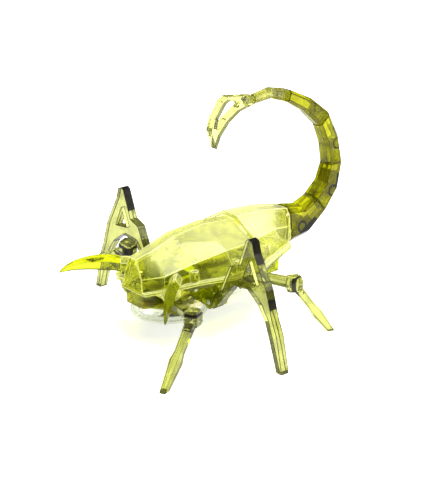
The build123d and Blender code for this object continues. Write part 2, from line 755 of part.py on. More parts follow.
# ------------------------------------------------------------------ battery cup
DOOR_BOSS_R = 1.5
DOOR_BOSS_INSET = 1.6                # boss's middle inside the cup's outside
DOOR_SCREW_GRIP = 3.4
DOOR_SCREW = (CUP_X - CUP_R + DOOR_BOSS_INSET, 0)
CONTACT_R = CUP_R - DOOR_BOSS_INSET - DOOR_BOSS_R - SIDE_GAP
CELL_EDGE = 0.4

with BuildPart() as battery_cup:
    add(rods([(CUP_X, 0)], DOOR_Z + DOOR_T, FLOOR_Z, CUP_R))
    add(rods([(CUP_X, 0)], DOOR_Z + DOOR_T, FLOOR_Z, CUP_R - CUP_WALL), mode=Mode.SUBTRACT)
    add(rods([DOOR_SCREW], DOOR_Z + DOOR_T, FLOOR_Z, DOOR_BOSS_R))
    bore_top = DOOR_Z + DOOR_T + DOOR_SCREW_GRIP
    add(rods([DOOR_SCREW], DOOR_Z + DOOR_T, bore_top, SCREW_R), mode=Mode.SUBTRACT)
keep(battery_cup, "battery_cup")

with BuildPart() as battery_door:
    add(rods([(CUP_X, 0)], DOOR_Z, DOOR_Z + DOOR_T, CUP_R))
    add(rods([DOOR_SCREW], DOOR_Z, DOOR_Z + DOOR_T, SCREW_R), mode=Mode.SUBTRACT)
keep(battery_door, "battery_door")

with BuildPart() as door_screw:
    add(rods([DOOR_SCREW], DOOR_Z, DOOR_Z + DOOR_T + DOOR_SCREW_GRIP, SCREW_R))
    add(rods([DOOR_SCREW], DOOR_Z - SCREW_HEAD_T, DOOR_Z, SCREW_HEAD_R))
keep(door_screw, "door_screw")

for number, name in enumerate(("contact_lower", "contact_upper")):
    bottom = DOOR_Z + DOOR_T + number * (CONTACT_T + CELL_T)
    with BuildPart() as contact:
        add(rods([(CUP_X, 0)], bottom, bottom + CONTACT_T, CONTACT_R))
    keep(contact, name)

for number in range(3):
    turn = radians(120 * number)
    spot = (CUP_X + CELL_RING_R * cos(turn), CELL_RING_R * sin(turn))
    with BuildPart() as cell:
        add(rods([spot], DOOR_Z + DOOR_T + CONTACT_T, FLOOR_Z - CONTACT_T, CELL_R))
        chamfer(cell.edges().filter_by(GeomType.CIRCLE), CELL_EDGE)
    keep(cell, f"button_cell_{number + 1}")

# ------------------------------------------------------------------ belly housing and switch
BELLY_X = (-32.0, -7.0)
BELLY_HALF = 5.6
BELLY_Z = 7.5
BELLY_CORNER = 3.0
BELLY_HEAD_ROOM = 0.4                # between the housing's side and a screw head
BELLY_EAR = (-17.3, BELLY_HALF + SCREW_HEAD_R + BELLY_HEAD_ROOM)
BELLY_EAR_R = 1.9
BELLY_EAR_T = 1.0
SWITCH_X = -14.0
SWITCH_SIZE = (8.0, 4.2, 3.0)
SLIDER_SIZE = (2.0, 1.8, 2.4)
SLIDER_TRAVEL = 2.0
SLIDER_SEAT = 0.9                    # slider's depth inside the switch body
SWITCH_SLOT_T = 1.2                  # depth of the slot that it runs in

belly_length = BELLY_X[1] - BELLY_X[0]
belly_middle = (BELLY_X[0] + BELLY_X[1]) / 2
slot_length = SLIDER_SIZE[0] + SLIDER_TRAVEL + 2 * SIDE_GAP
slot_width = SLIDER_SIZE[1] + 2 * SIDE_GAP
with BuildPart() as belly_housing:
    with BuildSketch(level(BELLY_Z)):
        with Locations((belly_middle, 0)):
            RectangleRounded(belly_length, 2 * BELLY_HALF, BELLY_CORNER)
    extrude(amount=FLOOR_Z - BELLY_Z)
    with BuildSketch(level(BELLY_Z + CLEAR_WALL)):
        with Locations((belly_middle, 0)):
            inside = BELLY_CORNER - CLEAR_WALL
            RectangleRounded(belly_length - 2 * CLEAR_WALL, 2 * (BELLY_HALF - CLEAR_WALL), inside)
    extrude(amount=FLOOR_Z - BELLY_Z, mode=Mode.SUBTRACT)
    with BuildSketch(level(FLOOR_Z - BELLY_EAR_T)):
        with Locations(*sides([BELLY_EAR])):
            Circle(BELLY_EAR_R)
        with Locations(*sides([(BELLY_EAR[0], (BELLY_EAR[1] + BELLY_HALF - CLEAR_WALL) / 2)])):
            Rectangle(2 * BELLY_EAR_R, BELLY_EAR[1] - BELLY_HALF + CLEAR_WALL)
    extrude(amount=BELLY_EAR_T)
    add(rods(sides([BELLY_EAR]), FLOOR_Z - BELLY_EAR_T, FLOOR_Z, SCREW_R), mode=Mode.SUBTRACT)
    with BuildSketch(level(BELLY_Z)):
        with Locations((SWITCH_X, 0)):
            Rectangle(slot_length, slot_width)
    extrude(amount=CLEAR_WALL, mode=Mode.SUBTRACT)
keep(belly_housing, "belly_housing")

for number, spot in enumerate(sides([BELLY_EAR]), start=1):
    with BuildPart() as belly_screw:
        add(rods([spot], FLOOR_Z - BELLY_EAR_T, FLOOR_Z, SCREW_R))
        add(rods([spot], FLOOR_Z - BELLY_EAR_T - SCREW_HEAD_T, FLOOR_Z - BELLY_EAR_T, SCREW_HEAD_R))
    keep(belly_screw, f"belly_screw_{number}")

with BuildPart() as switch_body:
    with BuildSketch(level(BELLY_Z + CLEAR_WALL)):
        with Locations((SWITCH_X, 0)):
            Rectangle(SWITCH_SIZE[0], SWITCH_SIZE[1])
    extrude(amount=SWITCH_SIZE[2])
    with BuildSketch(level(BELLY_Z + CLEAR_WALL)):
        with Locations((SWITCH_X, 0)):
            Rectangle(slot_length, slot_width)
    extrude(amount=SWITCH_SLOT_T, mode=Mode.SUBTRACT)
keep(switch_body, "switch_body")

with BuildPart() as switch_slider:
    with BuildSketch(level(BELLY_Z + CLEAR_WALL + SLIDER_SEAT - SLIDER_SIZE[2])):
        with Locations((SWITCH_X, 0)):
            Rectangle(SLIDER_SIZE[0], SLIDER_SIZE[1])
    extrude(amount=SLIDER_SIZE[2])
keep(switch_slider, "switch_slider")

# ------------------------------------------------------------------ gearbox
DECK_X = (-31.0, -4.0)
DECK_HALF = 5.3
DECK_CORNER = 2.5
BUSHING_R = 1.5
BUSHING_T = 0.7
BUSHING_ROOM = 0.1                   # radial room round the motor's bushing
AXLE_PROUD = 0.4                     # idler axle above its gears
SHAFT_PROUD = 0.2                    # motor shaft above its pinion
SHAFT_DEPTH = 1.8                    # motor shaft inside the can
IDLER_BOSS_R = 1.4
IDLER_NECK_R = 1.8                   # between the idler's two gears
SHOULDER_R = 2.2
FACE_GAP = 0.1                       # gears above their bosses
CRANK_DISC_GAP = 0.4                 # crank disc below the deck
TOOTH_OUT = 0.42                     # tooth height outside and inside the pitch circle
TOOTH_IN = 0.58
TOOTH_TIP = 0.28                     # tooth thickness at the tip and at the root
TOOTH_ROOT = 0.82
TOOTH_SINK = 0.1                     # tooth's root inside the gear's body

with BuildPart() as gearbox_deck:
    with BuildSketch(level(DECK_Z)):
        with Locations(((DECK_X[0] + DECK_X[1]) / 2, 0)):
            RectangleRounded(DECK_X[1] - DECK_X[0], 2 * DECK_HALF, DECK_CORNER)
    extrude(amount=DECK_T)
    add(rods([(IDLER_X, 0)], DECK_Z, LOW_GEAR_Z - FACE_GAP, IDLER_BOSS_R))
    add(rods([(WHEEL_X, 0)], DECK_Z, HIGH_GEAR_Z - FACE_GAP, SHOULDER_R))
    add(rods([(IDLER_X, 0)], DECK_Z, LOW_GEAR_Z, IDLER_AXLE_R), mode=Mode.SUBTRACT)
    add(rods([(WHEEL_X, 0)], DECK_Z, HIGH_GEAR_Z, WHEEL_SHAFT_R + RUNNING), mode=Mode.SUBTRACT)
    bushing_bore = BUSHING_R + BUSHING_ROOM
    add(rods([(MOTOR_X, 0)], DECK_Z, DECK_Z + DECK_T, bushing_bore), mode=Mode.SUBTRACT)
keep(gearbox_deck, "gearbox_deck")

with BuildPart() as motor_can:
    with BuildSketch(level(BELLY_Z + CLEAR_WALL)):
        with Locations((MOTOR_X, 0)):
            Circle(MOTOR_R)
    extrude(amount=DECK_Z - BELLY_Z - CLEAR_WALL)
    add(rods([(MOTOR_X, 0)], DECK_Z, DECK_Z + BUSHING_T, BUSHING_R))
    bore = MOTOR_SHAFT_R + RUNNING
    add(rods([(MOTOR_X, 0)], DECK_Z - SHAFT_DEPTH, DECK_Z + BUSHING_T, bore), mode=Mode.SUBTRACT)
keep(motor_can, "motor_can")

with BuildPart() as motor_shaft:
    shaft_top = LOW_GEAR_Z + LOW_GEAR_T + SHAFT_PROUD
    add(rods([(MOTOR_X, 0)], DECK_Z - SHAFT_DEPTH, shaft_top, MOTOR_SHAFT_R))
keep(motor_shaft, "motor_shaft")

with BuildPart() as idler_axle:
    add(rods([(IDLER_X, 0)], DECK_Z, HIGH_GEAR_Z + HIGH_GEAR_T + AXLE_PROUD, IDLER_AXLE_R))
keep(idler_axle, "idler_axle")


def gear(x, teeth, turn, bottom, thickness):
    """Spur gear with stub teeth on the gear line; turn places the first tooth."""
    pitch_r = MODULE * teeth / 2
    with BuildPart() as wheel:
        with BuildSketch(level(bottom)):
            with Locations((x, 0)):
                Circle(pitch_r - TOOTH_IN)
                with PolarLocations(0, teeth, start_angle=turn):
                    Polygon(
                        (pitch_r - TOOTH_IN - TOOTH_SINK, -TOOTH_ROOT / 2),
                        (pitch_r + TOOTH_OUT, -TOOTH_TIP / 2),
                        (pitch_r + TOOTH_OUT, TOOTH_TIP / 2),
                        (pitch_r - TOOTH_IN - TOOTH_SINK, TOOTH_ROOT / 2),
                        align=None,
                    )
        extrude(amount=thickness)
    return wheel.part


with BuildPart() as motor_pinion:
    add(gear(MOTOR_X, PINION_TEETH, 180 / PINION_TEETH, LOW_GEAR_Z, LOW_GEAR_T))
    add(rods([(MOTOR_X, 0)], LOW_GEAR_Z, LOW_GEAR_Z + LOW_GEAR_T, MOTOR_SHAFT_R), mode=Mode.SUBTRACT)
keep(motor_pinion, "motor_pinion")

with BuildPart() as idler_gear:
    add(gear(IDLER_X, IDLER_LARGE_TEETH, 0, LOW_GEAR_Z, LOW_GEAR_T))
    add(rods([(IDLER_X, 0)], LOW_GEAR_Z + LOW_GEAR_T, HIGH_GEAR_Z, IDLER_NECK_R))
    add(gear(IDLER_X, IDLER_SMALL_TEETH, 180 / IDLER_SMALL_TEETH, HIGH_GEAR_Z, HIGH_GEAR_T))
    bore = IDLER_AXLE_R + RUNNING
    add(rods([(IDLER_X, 0)], LOW_GEAR_Z, HIGH_GEAR_Z + HIGH_GEAR_T, bore), mode=Mode.SUBTRACT)
keep(idler_gear, "idler_gear")

CRANK_DISC_Z = DECK_Z - CRANK_DISC_GAP - CRANK_DISC_T
with BuildPart() as crank_wheel:
    add(gear(WHEEL_X, WHEEL_TEETH, 0, HIGH_GEAR_Z, HIGH_GEAR_T))
    add(rods([(WHEEL_X, 0)], CRANK_DISC_Z, HIGH_GEAR_Z, WHEEL_SHAFT_R))
    wheel_top = HIGH_GEAR_Z + HIGH_GEAR_T
    add(rods([(WHEEL_X + REAR_STROKE, 0)], wheel_top, REAR_PLATE_Z - CRANK_GAP, CRANK_PIN_R))
keep(crank_wheel, "crank_wheel")

with BuildPart() as crank_disc:
    add(rods([(WHEEL_X, 0)], CRANK_DISC_Z, CRANK_DISC_Z + CRANK_DISC_T, CRANK_DISC_R))
    add(rods([(WHEEL_X, 0)], CRANK_DISC_Z, CRANK_DISC_Z + CRANK_DISC_T, WHEEL_SHAFT_R), mode=Mode.SUBTRACT)
    pin_bottom = FRONT_PLATE_Z + PLATE_T + CRANK_GAP
    add(rods([(WHEEL_X, FRONT_STROKE)], pin_bottom, CRANK_DISC_Z, CRANK_PIN_R))
keep(crank_disc, "crank_disc")

# ------------------------------------------------------------------ drag plates
STEM_HALF = 4.6
STEM_END = -13.4
FRONT_SLOT = 2.9                     # fore-and-aft length of the front horn pins' slots
BAR_END_WALL = 0.8
SPINE_HALF = 4.2
SPINE_X = (-23.2, 5.6)
REAR_ARM_X = REAR_HIP[0] + REAR_HORN_R
ARM_END_WALL = 0.6
FINGER_PLAY = 0.35                   # play of a middle leg's finger, which tilts in its hole
ARM_HALF = 1.9
MIDDLE_ARM_HALF = 1.65

slot_half = DRIVE_PIN_R + SLOT_PLAY
bar_reach = FRONT_HIP[1] + slot_half + BAR_END_WALL
with BuildPart() as front_drag_plate:
    with BuildSketch(level(FRONT_PLATE_Z)):
        with Locations((BAR_X, FRONT_STROKE)):
            Rectangle(2 * BAR_HALF, 2 * bar_reach)
        with Locations(((STEM_END + BAR_X) / 2, FRONT_STROKE)):
            Rectangle(BAR_X - STEM_END, 2 * STEM_HALF)
        with Locations(*[(BAR_X, FRONT_STROKE + hand * FRONT_HIP[1]) for hand in (1, -1)]):
            Rectangle(FRONT_SLOT, 2 * slot_half, mode=Mode.SUBTRACT)
        with Locations((WHEEL_X, FRONT_STROKE)):
            SlotOverall(2 * (FRONT_STROKE + slot_half), 2 * slot_half, mode=Mode.SUBTRACT)
        with Locations(*[(x, FRONT_STROKE) for x in PEG_X]):
            peg_half = PEG_R + SLOT_PLAY
            SlotOverall(2 * (FRONT_STROKE + peg_half), 2 * peg_half, rotation=90, mode=Mode.SUBTRACT)
    extrude(amount=PLATE_T)
keep(front_drag_plate, "front_drag_plate")

horn_arc = REAR_HORN_R * (1 - cos(radians(REAR_SWING)))
with BuildPart() as rear_drag_plate:
    with BuildSketch(level(REAR_PLATE_Z)):
        with Locations(((SPINE_X[0] + SPINE_X[1]) / 2, 0)):
            Rectangle(SPINE_X[1] - SPINE_X[0], 2 * SPINE_HALF)
        with Locations((REAR_ARM_X, 0)):
            Rectangle(2 * ARM_HALF, 2 * (REAR_HIP[1] + slot_half + ARM_END_WALL))
        finger_half = FINGER_R + FINGER_PLAY
        with Locations((0, 0)):
            Rectangle(2 * MIDDLE_ARM_HALF, 2 * (MIDDLE_HORN[0] + finger_half + ARM_END_WALL))
        with Locations(*sides([(REAR_ARM_X - horn_arc / 2, REAR_HIP[1])])):
            Rectangle(2 * slot_half + horn_arc, 2 * slot_half, mode=Mode.SUBTRACT)
        with Locations((0, MIDDLE_HORN[0]), (0, -MIDDLE_HORN[0])):
            Rectangle(2 * finger_half, 2 * finger_half, mode=Mode.SUBTRACT)
        with Locations((WHEEL_X, 0)):
            SlotOverall(2 * (REAR_STROKE + slot_half), 2 * slot_half, mode=Mode.SUBTRACT)
        with Locations(*[(x, 0) for x in GUIDE_X]):
            guide_half = GUIDE_R + SLOT_PLAY
            SlotOverall(2 * (REAR_STROKE + guide_half), 2 * guide_half, rotation=90, mode=Mode.SUBTRACT)
    extrude(amount=PLATE_T)
keep(rear_drag_plate, "rear_drag_plate")

with BuildPart() as circuit_board:
    with BuildSketch(level(BOARD_Z)):
        with Locations(((BOARD_X[0] + BOARD_X[1]) / 2, 0)):
            Rectangle(BOARD_X[1] - BOARD_X[0], 2 * BOARD_HALF)
    extrude(amount=BOARD_T)
keep(circuit_board, "circuit_board")


# ------------------------------------------------------------------ legs
def across(point, ahead):
    """Plane through a body point, square to a direction, with sketch x level."""
    level_x = (-ahead[1], ahead[0], 0)
    origin = (BODY_X + point[0], point[1], point[2])
    return Plane(origin=origin, x_dir=level_x, z_dir=ahead)


def limb(stops):
    """Tapered limb through (point, width, depth) stops, each square to the way it runs there."""
    with BuildPart() as bone:
        for index, (point, width, depth) in enumerate(stops):
            before = stops[max(index - 1, 0)][0]
            after = stops[min(index + 1, len(stops) - 1)][0]
            ahead = tuple(b - a for a, b in zip(before, after))
            with BuildSketch(across(point, ahead)):
                Rectangle(width, depth)
                chamfer(vertices(), LIMB_CORNER * min(width, depth))
        loft(ruled=True)
    return bone.part


def knee_block(centre, low, high, turn):
    """Chamfered knee block, drawn in at both ends, turned to face along the shin."""
    with BuildPart() as block:
        stops = ((low, 0.84), (low + KNEE_WAIST, 1.0), (high - KNEE_WAIST, 1.0), (high, 0.84))
        for z, share in stops:
            place = Plane(
                origin=(BODY_X + centre[0], centre[1], z),
                x_dir=(cos(turn), sin(turn), 0),
                z_dir=(0, 0, 1),
            )
            with BuildSketch(place):
                Rectangle(KNEE_SIZE[0] * share, KNEE_SIZE[1] * share)
                chamfer(vertices(), KNEE_CORNER)
        loft(ruled=True)
    return block.part


def lower_leg(knee, knee_z, sole):
    """Knee block, shin and foot of a left leg, cut flat at the ground."""
    turn = atan2(sole[1] - knee[1], sole[0] - knee[0])
    middle = (knee[0], knee[1], sum(knee_z) / 2)
    ground = (sole[0], sole[1], 0)
    with BuildPart() as lower:
        add(knee_block(knee, knee_z[0], knee_z[1], turn))
        add(
            limb(
                [
                    (middle, *SHIN_SIZE),
                    (between(middle, ground, CALF_SHARE), *CALF_SIZE),
                    (between(middle, ground, ANKLE_SHARE), *ANKLE_SIZE),
                    (between(middle, ground, 1.05), *SOLE_SIZE),
                ]
            )
        )
        split(bisect_by=Plane.XY)
    return lower.part


def horn(plane, reach, angle, thickness, hub_r, end_r):
    """Flat lever from a hub to a drive pin, on a plane square to the hip pin."""
    with BuildPart() as lever:
        with BuildSketch(plane):
            with Locations((0, 0)):
                Circle(hub_r)
            tip = (reach * cos(radians(angle)), reach * sin(radians(angle)))
            with Locations(tip):
                Circle(end_r)
            make_hull()
        extrude(amount=thickness)
    return lever.part


def pin_on(plane, reach, angle, length, radius):
    """Drive pin standing on a plane at a horn's end."""
    with BuildPart() as pin:
        with BuildSketch(plane):
            with Locations((reach * cos(radians(angle)), reach * sin(radians(angle)))):
                Circle(radius)
        extrude(amount=length)
    return pin.part


FRONT_PIN_REACH = 1.8                # how far the front drive pin stands below its horn
PIN_PROUD = 0.3                      # how far drive pins and fingers stand above the rear plate
REAR_PIN_TOP = REAR_PLATE_Z + PLATE_T + PIN_PROUD
PIN_ROOT = 0.2                       # length of a drive pin inside its horn
FRONT_HORN_LOW = -1.1                # height of the front horn's underside from the hub's middle
front_low = front_hip_plane(FRONT_HORN_LOW)
front_horn_turn = 180 - FRONT_SWING
with BuildPart() as leg_front:
    add(front_hub_room(1, HUB_R, -FRONT_HUB_HALF, FRONT_HUB_HALF))
    add(horn(front_low, FRONT_HORN_R, front_horn_turn, HORN_T, HUB_R, HORN_END_R))
    pin_plane = front_hip_plane(FRONT_HORN_LOW - FRONT_PIN_REACH)
    add(pin_on(pin_plane, FRONT_HORN_R, front_horn_turn, FRONT_PIN_REACH + PIN_ROOT, DRIVE_PIN_R))
    root = (FRONT_HIP[0], FRONT_HIP[1], FRONT_HIP[2] - FRONT_ARM_DROP)
    elbow = (*FRONT_KNEE, sum(FRONT_KNEE_Z) / 2)
    add(limb([(between(root, elbow, ARM_SHARE), *ARM_SIZE), (elbow, *ELBOW_SIZE)]))
    add(lower_leg(FRONT_KNEE, FRONT_KNEE_Z, FRONT_SOLE))
    add(front_hub_room(1, HIP_PIN_R + RUNNING, -HUB_R, HUB_R), mode=Mode.SUBTRACT)
keep(leg_front, "leg_front_left")

lean = radians(FRONT_LEAN)
right_axis = Axis(
    (BODY_X + FRONT_HIP[0], -FRONT_HIP[1], FRONT_HIP[2]), (sin(lean), 0, cos(lean))
)
with BuildPart() as leg_front_right:
    add(mirror(leg_front.part, about=Plane.XZ, mode=Mode.PRIVATE).rotate(right_axis, -2 * FRONT_SWING))
keep(leg_front_right, "leg_front_right")

rear_hub = [(REAR_HIP[0], REAR_HIP[1])]
rear_horn_plane = Plane(
    origin=(BODY_X + REAR_HIP[0], REAR_HIP[1], REAR_HORN_Z), x_dir=(1, 0, 0), z_dir=(0, 0, 1)
)
with BuildPart() as leg_rear:
    add(rods(rear_hub, REAR_HUB_Z, REAR_HORN_Z + HORN_T, HUB_R))
    add(horn(rear_horn_plane, REAR_HORN_R, 0, HORN_T, HUB_R, HORN_END_R))
    add(pin_on(rear_horn_plane, REAR_HORN_R, 0, REAR_PIN_TOP - REAR_HORN_Z, DRIVE_PIN_R))
    root = (REAR_HIP[0], REAR_HIP[1], REAR_ARM_Z)
    elbow = (*REAR_KNEE, sum(REAR_KNEE_Z) / 2)
    add(limb([(between(root, elbow, ARM_SHARE), *ARM_SIZE), (elbow, *ELBOW_SIZE)]))
    add(lower_leg(REAR_KNEE, REAR_KNEE_Z, REAR_SOLE))
    add(rods(rear_hub, REAR_HUB_Z, REAR_HORN_Z + HORN_T, HIP_PIN_R + RUNNING), mode=Mode.SUBTRACT)
keep(leg_rear, "leg_rear_left")
with BuildPart() as leg_rear_right:
    add(mirror(leg_rear.part, about=Plane.XZ, mode=Mode.PRIVATE))
keep(leg_rear_right, "leg_rear_right")

with BuildPart() as leg_middle:
    with BuildSketch(station(0)):
        lower, upper = [(MIDDLE_HIP[0] + y, MIDDLE_HIP[1] + z) for y, z in MIDDLE_ROOT]
        Polygon(lower, *MIDDLE_OUTLINE, upper, align=None)
        Polygon(*MIDDLE_HOLE, align=None, mode=Mode.SUBTRACT)
        with Locations(MIDDLE_HIP):
            Circle(MIDDLE_HUB_R)
    extrude(amount=A_FRAME_T / 2, both=True)
    with BuildSketch(station(0)):
        with Locations(MIDDLE_HIP):
            Circle(ROCKER_R)
        with Locations(MIDDLE_HORN):
            Circle(ROCKER_END_R)
        make_hull()
    extrude(amount=A_FRAME_T / 2, both=True)
    add(rods([(0, MIDDLE_HORN[0])], MIDDLE_HORN[1], REAR_PIN_TOP, FINGER_R))
    with BuildSketch(station(0)):
        with Locations(MIDDLE_HIP):
            Circle(HIP_PIN_R + RUNNING)
    extrude(amount=A_FRAME_T, both=True, mode=Mode.SUBTRACT)
keep(leg_middle, "leg_middle_left")
with BuildPart() as leg_middle_right:
    add(mirror(leg_middle.part, about=Plane.XZ, mode=Mode.PRIVATE))
keep(leg_middle_right, "leg_middle_right")

# ------------------------------------------------------------------ hip pins
ear_top = FRONT_HUB_HALF + SIDE_GAP + EAR_T
for hand, side_name in ((1, "left"), (-1, "right")):
    with BuildPart() as hip_pin_front:
        add(front_hub_room(hand, HIP_PIN_R, -ear_top, ear_top))
    keep(hip_pin_front, f"hip_pin_front_{side_name}")
    with BuildPart() as hip_pin_middle:
        with BuildSketch(station(0)):
            with Locations((hand * MIDDLE_HIP[0], MIDDLE_HIP[1])):
                Circle(HIP_PIN_R)
        extrude(amount=LUG_X + LUG_T, both=True)
    keep(hip_pin_middle, f"hip_pin_middle_{side_name}")
    with BuildPart() as hip_pin_rear:
        top = REAR_HORN_Z + HORN_T + SIDE_GAP + HIP_PIN_GRIP
        add(rods([(REAR_HIP[0], hand * REAR_HIP[1])], FLOOR_Z, top, HIP_PIN_R))
    keep(hip_pin_rear, f"hip_pin_rear_{side_name}")
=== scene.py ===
# %% [markdown]
# # A six-legged walking robot in clear yellow-green plastic
# The robot is an assembly of many small mouldings: two faceted covers, a tray, six legs, two
# pincers and a tail of hinged links.  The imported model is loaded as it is, so every piece of it
# keeps its place and size.  What is added here is the finish of each plastic and metal, and the
# small details that a mould, a press and a screwdriver leave.

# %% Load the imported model
import json
import math

import bpy
from mathutils import Matrix, Vector

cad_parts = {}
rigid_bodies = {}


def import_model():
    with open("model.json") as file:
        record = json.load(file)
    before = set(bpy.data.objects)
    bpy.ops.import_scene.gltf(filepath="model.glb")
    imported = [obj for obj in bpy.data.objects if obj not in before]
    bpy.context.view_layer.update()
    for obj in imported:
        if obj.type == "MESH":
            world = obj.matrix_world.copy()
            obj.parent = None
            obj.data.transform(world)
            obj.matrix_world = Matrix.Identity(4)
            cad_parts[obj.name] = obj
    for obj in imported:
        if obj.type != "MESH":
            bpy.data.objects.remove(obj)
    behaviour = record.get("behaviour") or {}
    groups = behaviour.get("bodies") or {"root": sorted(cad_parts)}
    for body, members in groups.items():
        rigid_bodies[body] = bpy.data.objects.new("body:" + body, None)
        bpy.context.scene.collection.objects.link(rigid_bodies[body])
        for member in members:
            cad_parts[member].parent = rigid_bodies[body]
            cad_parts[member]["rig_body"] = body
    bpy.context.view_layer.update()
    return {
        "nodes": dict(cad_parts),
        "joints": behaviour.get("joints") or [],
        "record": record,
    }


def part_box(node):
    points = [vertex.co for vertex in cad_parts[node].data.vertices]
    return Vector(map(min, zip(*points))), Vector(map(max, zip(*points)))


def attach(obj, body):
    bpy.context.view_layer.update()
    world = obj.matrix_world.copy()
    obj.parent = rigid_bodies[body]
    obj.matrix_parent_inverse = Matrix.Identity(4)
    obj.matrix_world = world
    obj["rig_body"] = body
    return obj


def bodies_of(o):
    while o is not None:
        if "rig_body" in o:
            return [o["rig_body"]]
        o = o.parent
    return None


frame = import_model()
MM = 0.001

# %% [markdown]
# ## Places
# Added pieces are placed from the model itself.  The middle legs stand in one plane across the body,
# so that plane is a good zero for the camera, and the hinge points of the tail come from the joints.
# A changed model then carries its details along.  Only the painted bands of the legs repeat a few
# of the part's own measures, because the middle of a knee has no box of its own.

# %% Places taken from the model
def box_mm(node):
    """Lowest and highest corner of a node, in millimetres."""
    low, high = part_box(node)
    return low / MM, high / MM


def middle_mm(node):
    """Middle of a node's box, in millimetres."""
    low, high = box_mm(node)
    return (low + high) / 2


LEG_PLANE_X = middle_mm("leg_middle_left").x
JOINTS = {joint["name"]: joint for joint in frame["joints"]}
TAIL_HINGES = [Vector(JOINTS[f"tail_hinge_{n}"]["pos_m"]) / MM for n in range(1, 7)]
print("plane of the middle legs", round(LEG_PLANE_X, 2), "tail hinges", len(TAIL_HINGES))

# %% [markdown]
# ## Camera, floor and light
# The robot stands on a white floor, seen from its front left and from about 20 degrees above.  A
# long lens keeps the far legs nearly as large as the near ones.  Clear plastic shows what is around
# it, so the room goes from dark below to white above and its corners have something to mirror,
# while the view itself has a plain pale backdrop.  A softbox above and a weaker one at the side give
# the faint shadow and part of the pale upper faces; on the covers those faces are also painted paler,
# a painted highlight.  A small hard light would fill the clear walls with bright specks.

# %% Camera
AIM = Vector((LEG_PLANE_X - 12.2, 0.0, 24.9)) * MM
BACK = Vector((0.6008, 0.7186, 0.3502)).normalized()
CAMERA_DISTANCE = 0.5
camera_data = bpy.data.cameras.new("camera")
camera_data.lens = 118.3
camera_data.sensor_width = 36.0
camera = bpy.data.objects.new("camera", camera_data)
camera.location = AIM + BACK * CAMERA_DISTANCE
camera.rotation_euler = (-BACK).to_track_quat("-Z", "Y").to_euler()
bpy.context.scene.collection.objects.link(camera)
bpy.context.scene.camera = camera
bpy.context.scene.view_settings.view_transform = "Standard"
bpy.context.scene.view_settings.gamma = 0.82
print("camera", [round(v, 4) for v in camera.location])

# %% Floor
FLOOR_HALF = 2.0
FLOOR_DROP = 0.02  # millimetres under the soles
PAPER_GLOW = 0.62
floor_mesh = bpy.data.meshes.new("floor")
corners = [(x * FLOOR_HALF, y * FLOOR_HALF) for x, y in ((-1, -1), (1, -1), (1, 1), (-1, 1))]
floor_mesh.from_pydata([(x, y, -FLOOR_DROP * MM) for x, y in corners], [], [(0, 1, 2, 3)])
floor = bpy.data.objects.new("floor", floor_mesh)
bpy.context.scene.collection.objects.link(floor)
paper = bpy.data.materials.new("white_paper")
paper.use_nodes = True
sheet = paper.node_tree.nodes["Principled BSDF"]
sheet.inputs["Base Color"].default_value = (0.9, 0.9, 0.9, 1.0)
sheet.inputs["Roughness"].default_value = 0.9
sheet.inputs["Emission Color"].default_value = (1.0, 1.0, 1.0, 1.0)
sheet.inputs["Emission Strength"].default_value = PAPER_GLOW
floor_mesh.materials.append(paper)
print("floor made,", 2 * FLOOR_HALF, "m wide")

# %% Room
ROOM_STRENGTH = 0.35
room = bpy.data.worlds.new("studio_room")
bpy.context.scene.world = room
room.use_nodes = True
ramp = room.node_tree.nodes.new("ShaderNodeValToRGB")
ramp.color_ramp.elements[0].position = 0.02
ramp.color_ramp.elements[0].color = (0.10, 0.10, 0.09, 1.0)
ramp.color_ramp.elements[1].position = 0.5
ramp.color_ramp.elements[1].color = (1.0, 1.0, 1.0, 1.0)
way_up = room.node_tree.nodes.new("ShaderNodeSeparateXYZ")
direction = room.node_tree.nodes.new("ShaderNodeTexCoord")
room.node_tree.links.new(direction.outputs["Generated"], way_up.inputs[0])
room.node_tree.links.new(way_up.outputs["Z"], ramp.inputs[0])
sky = room.node_tree.nodes["Background"]
room.node_tree.links.new(ramp.outputs[0], sky.inputs["Color"])
sky.inputs["Strength"].default_value = ROOM_STRENGTH
backdrop = room.node_tree.nodes.new("ShaderNodeBackground")
backdrop.inputs["Color"].default_value = (0.96, 0.96, 0.96, 1.0)
seen = room.node_tree.nodes.new("ShaderNodeLightPath")
either = room.node_tree.nodes.new("ShaderNodeMixShader")
room.node_tree.links.new(seen.outputs["Is Camera Ray"], either.inputs[0])
room.node_tree.links.new(sky.outputs[0], either.inputs[1])
room.node_tree.links.new(backdrop.outputs[0], either.inputs[2])
room.node_tree.links.new(either.outputs[0], room.node_tree.nodes["World Output"].inputs["Surface"])
print("room made with", len(room.node_tree.nodes), "nodes")


# %% Softboxes
def add_light(name, place, size, power):
    """A square area light that looks at the robot."""
    data = bpy.data.lights.new(name, "AREA")
    data.size = size
    data.energy = power
    lamp = bpy.data.objects.new(name, data)
    lamp.location = place
    lamp.rotation_euler = (AIM - lamp.location).to_track_quat("-Z", "Y").to_euler()
    bpy.context.scene.collection.objects.link(lamp)


add_light("softbox_above", Vector((-0.05, 0.15, 0.70)), 0.4, 5.5)
add_light("softbox_side", Vector((-0.45, 0.40, 0.35)), 0.35, 1.0)
print("two softboxes made")

# %% [markdown]
# ## Writing shader maths as Python
# A procedural finish is arithmetic on places and noise.  Wiring each Math node by hand hides that
# arithmetic, so one small class wraps a socket and lets `+`, `-` and `*` add the nodes.
# Colours and directions go through Mix and Vector Math, because a Math node would turn a colour
# grey.

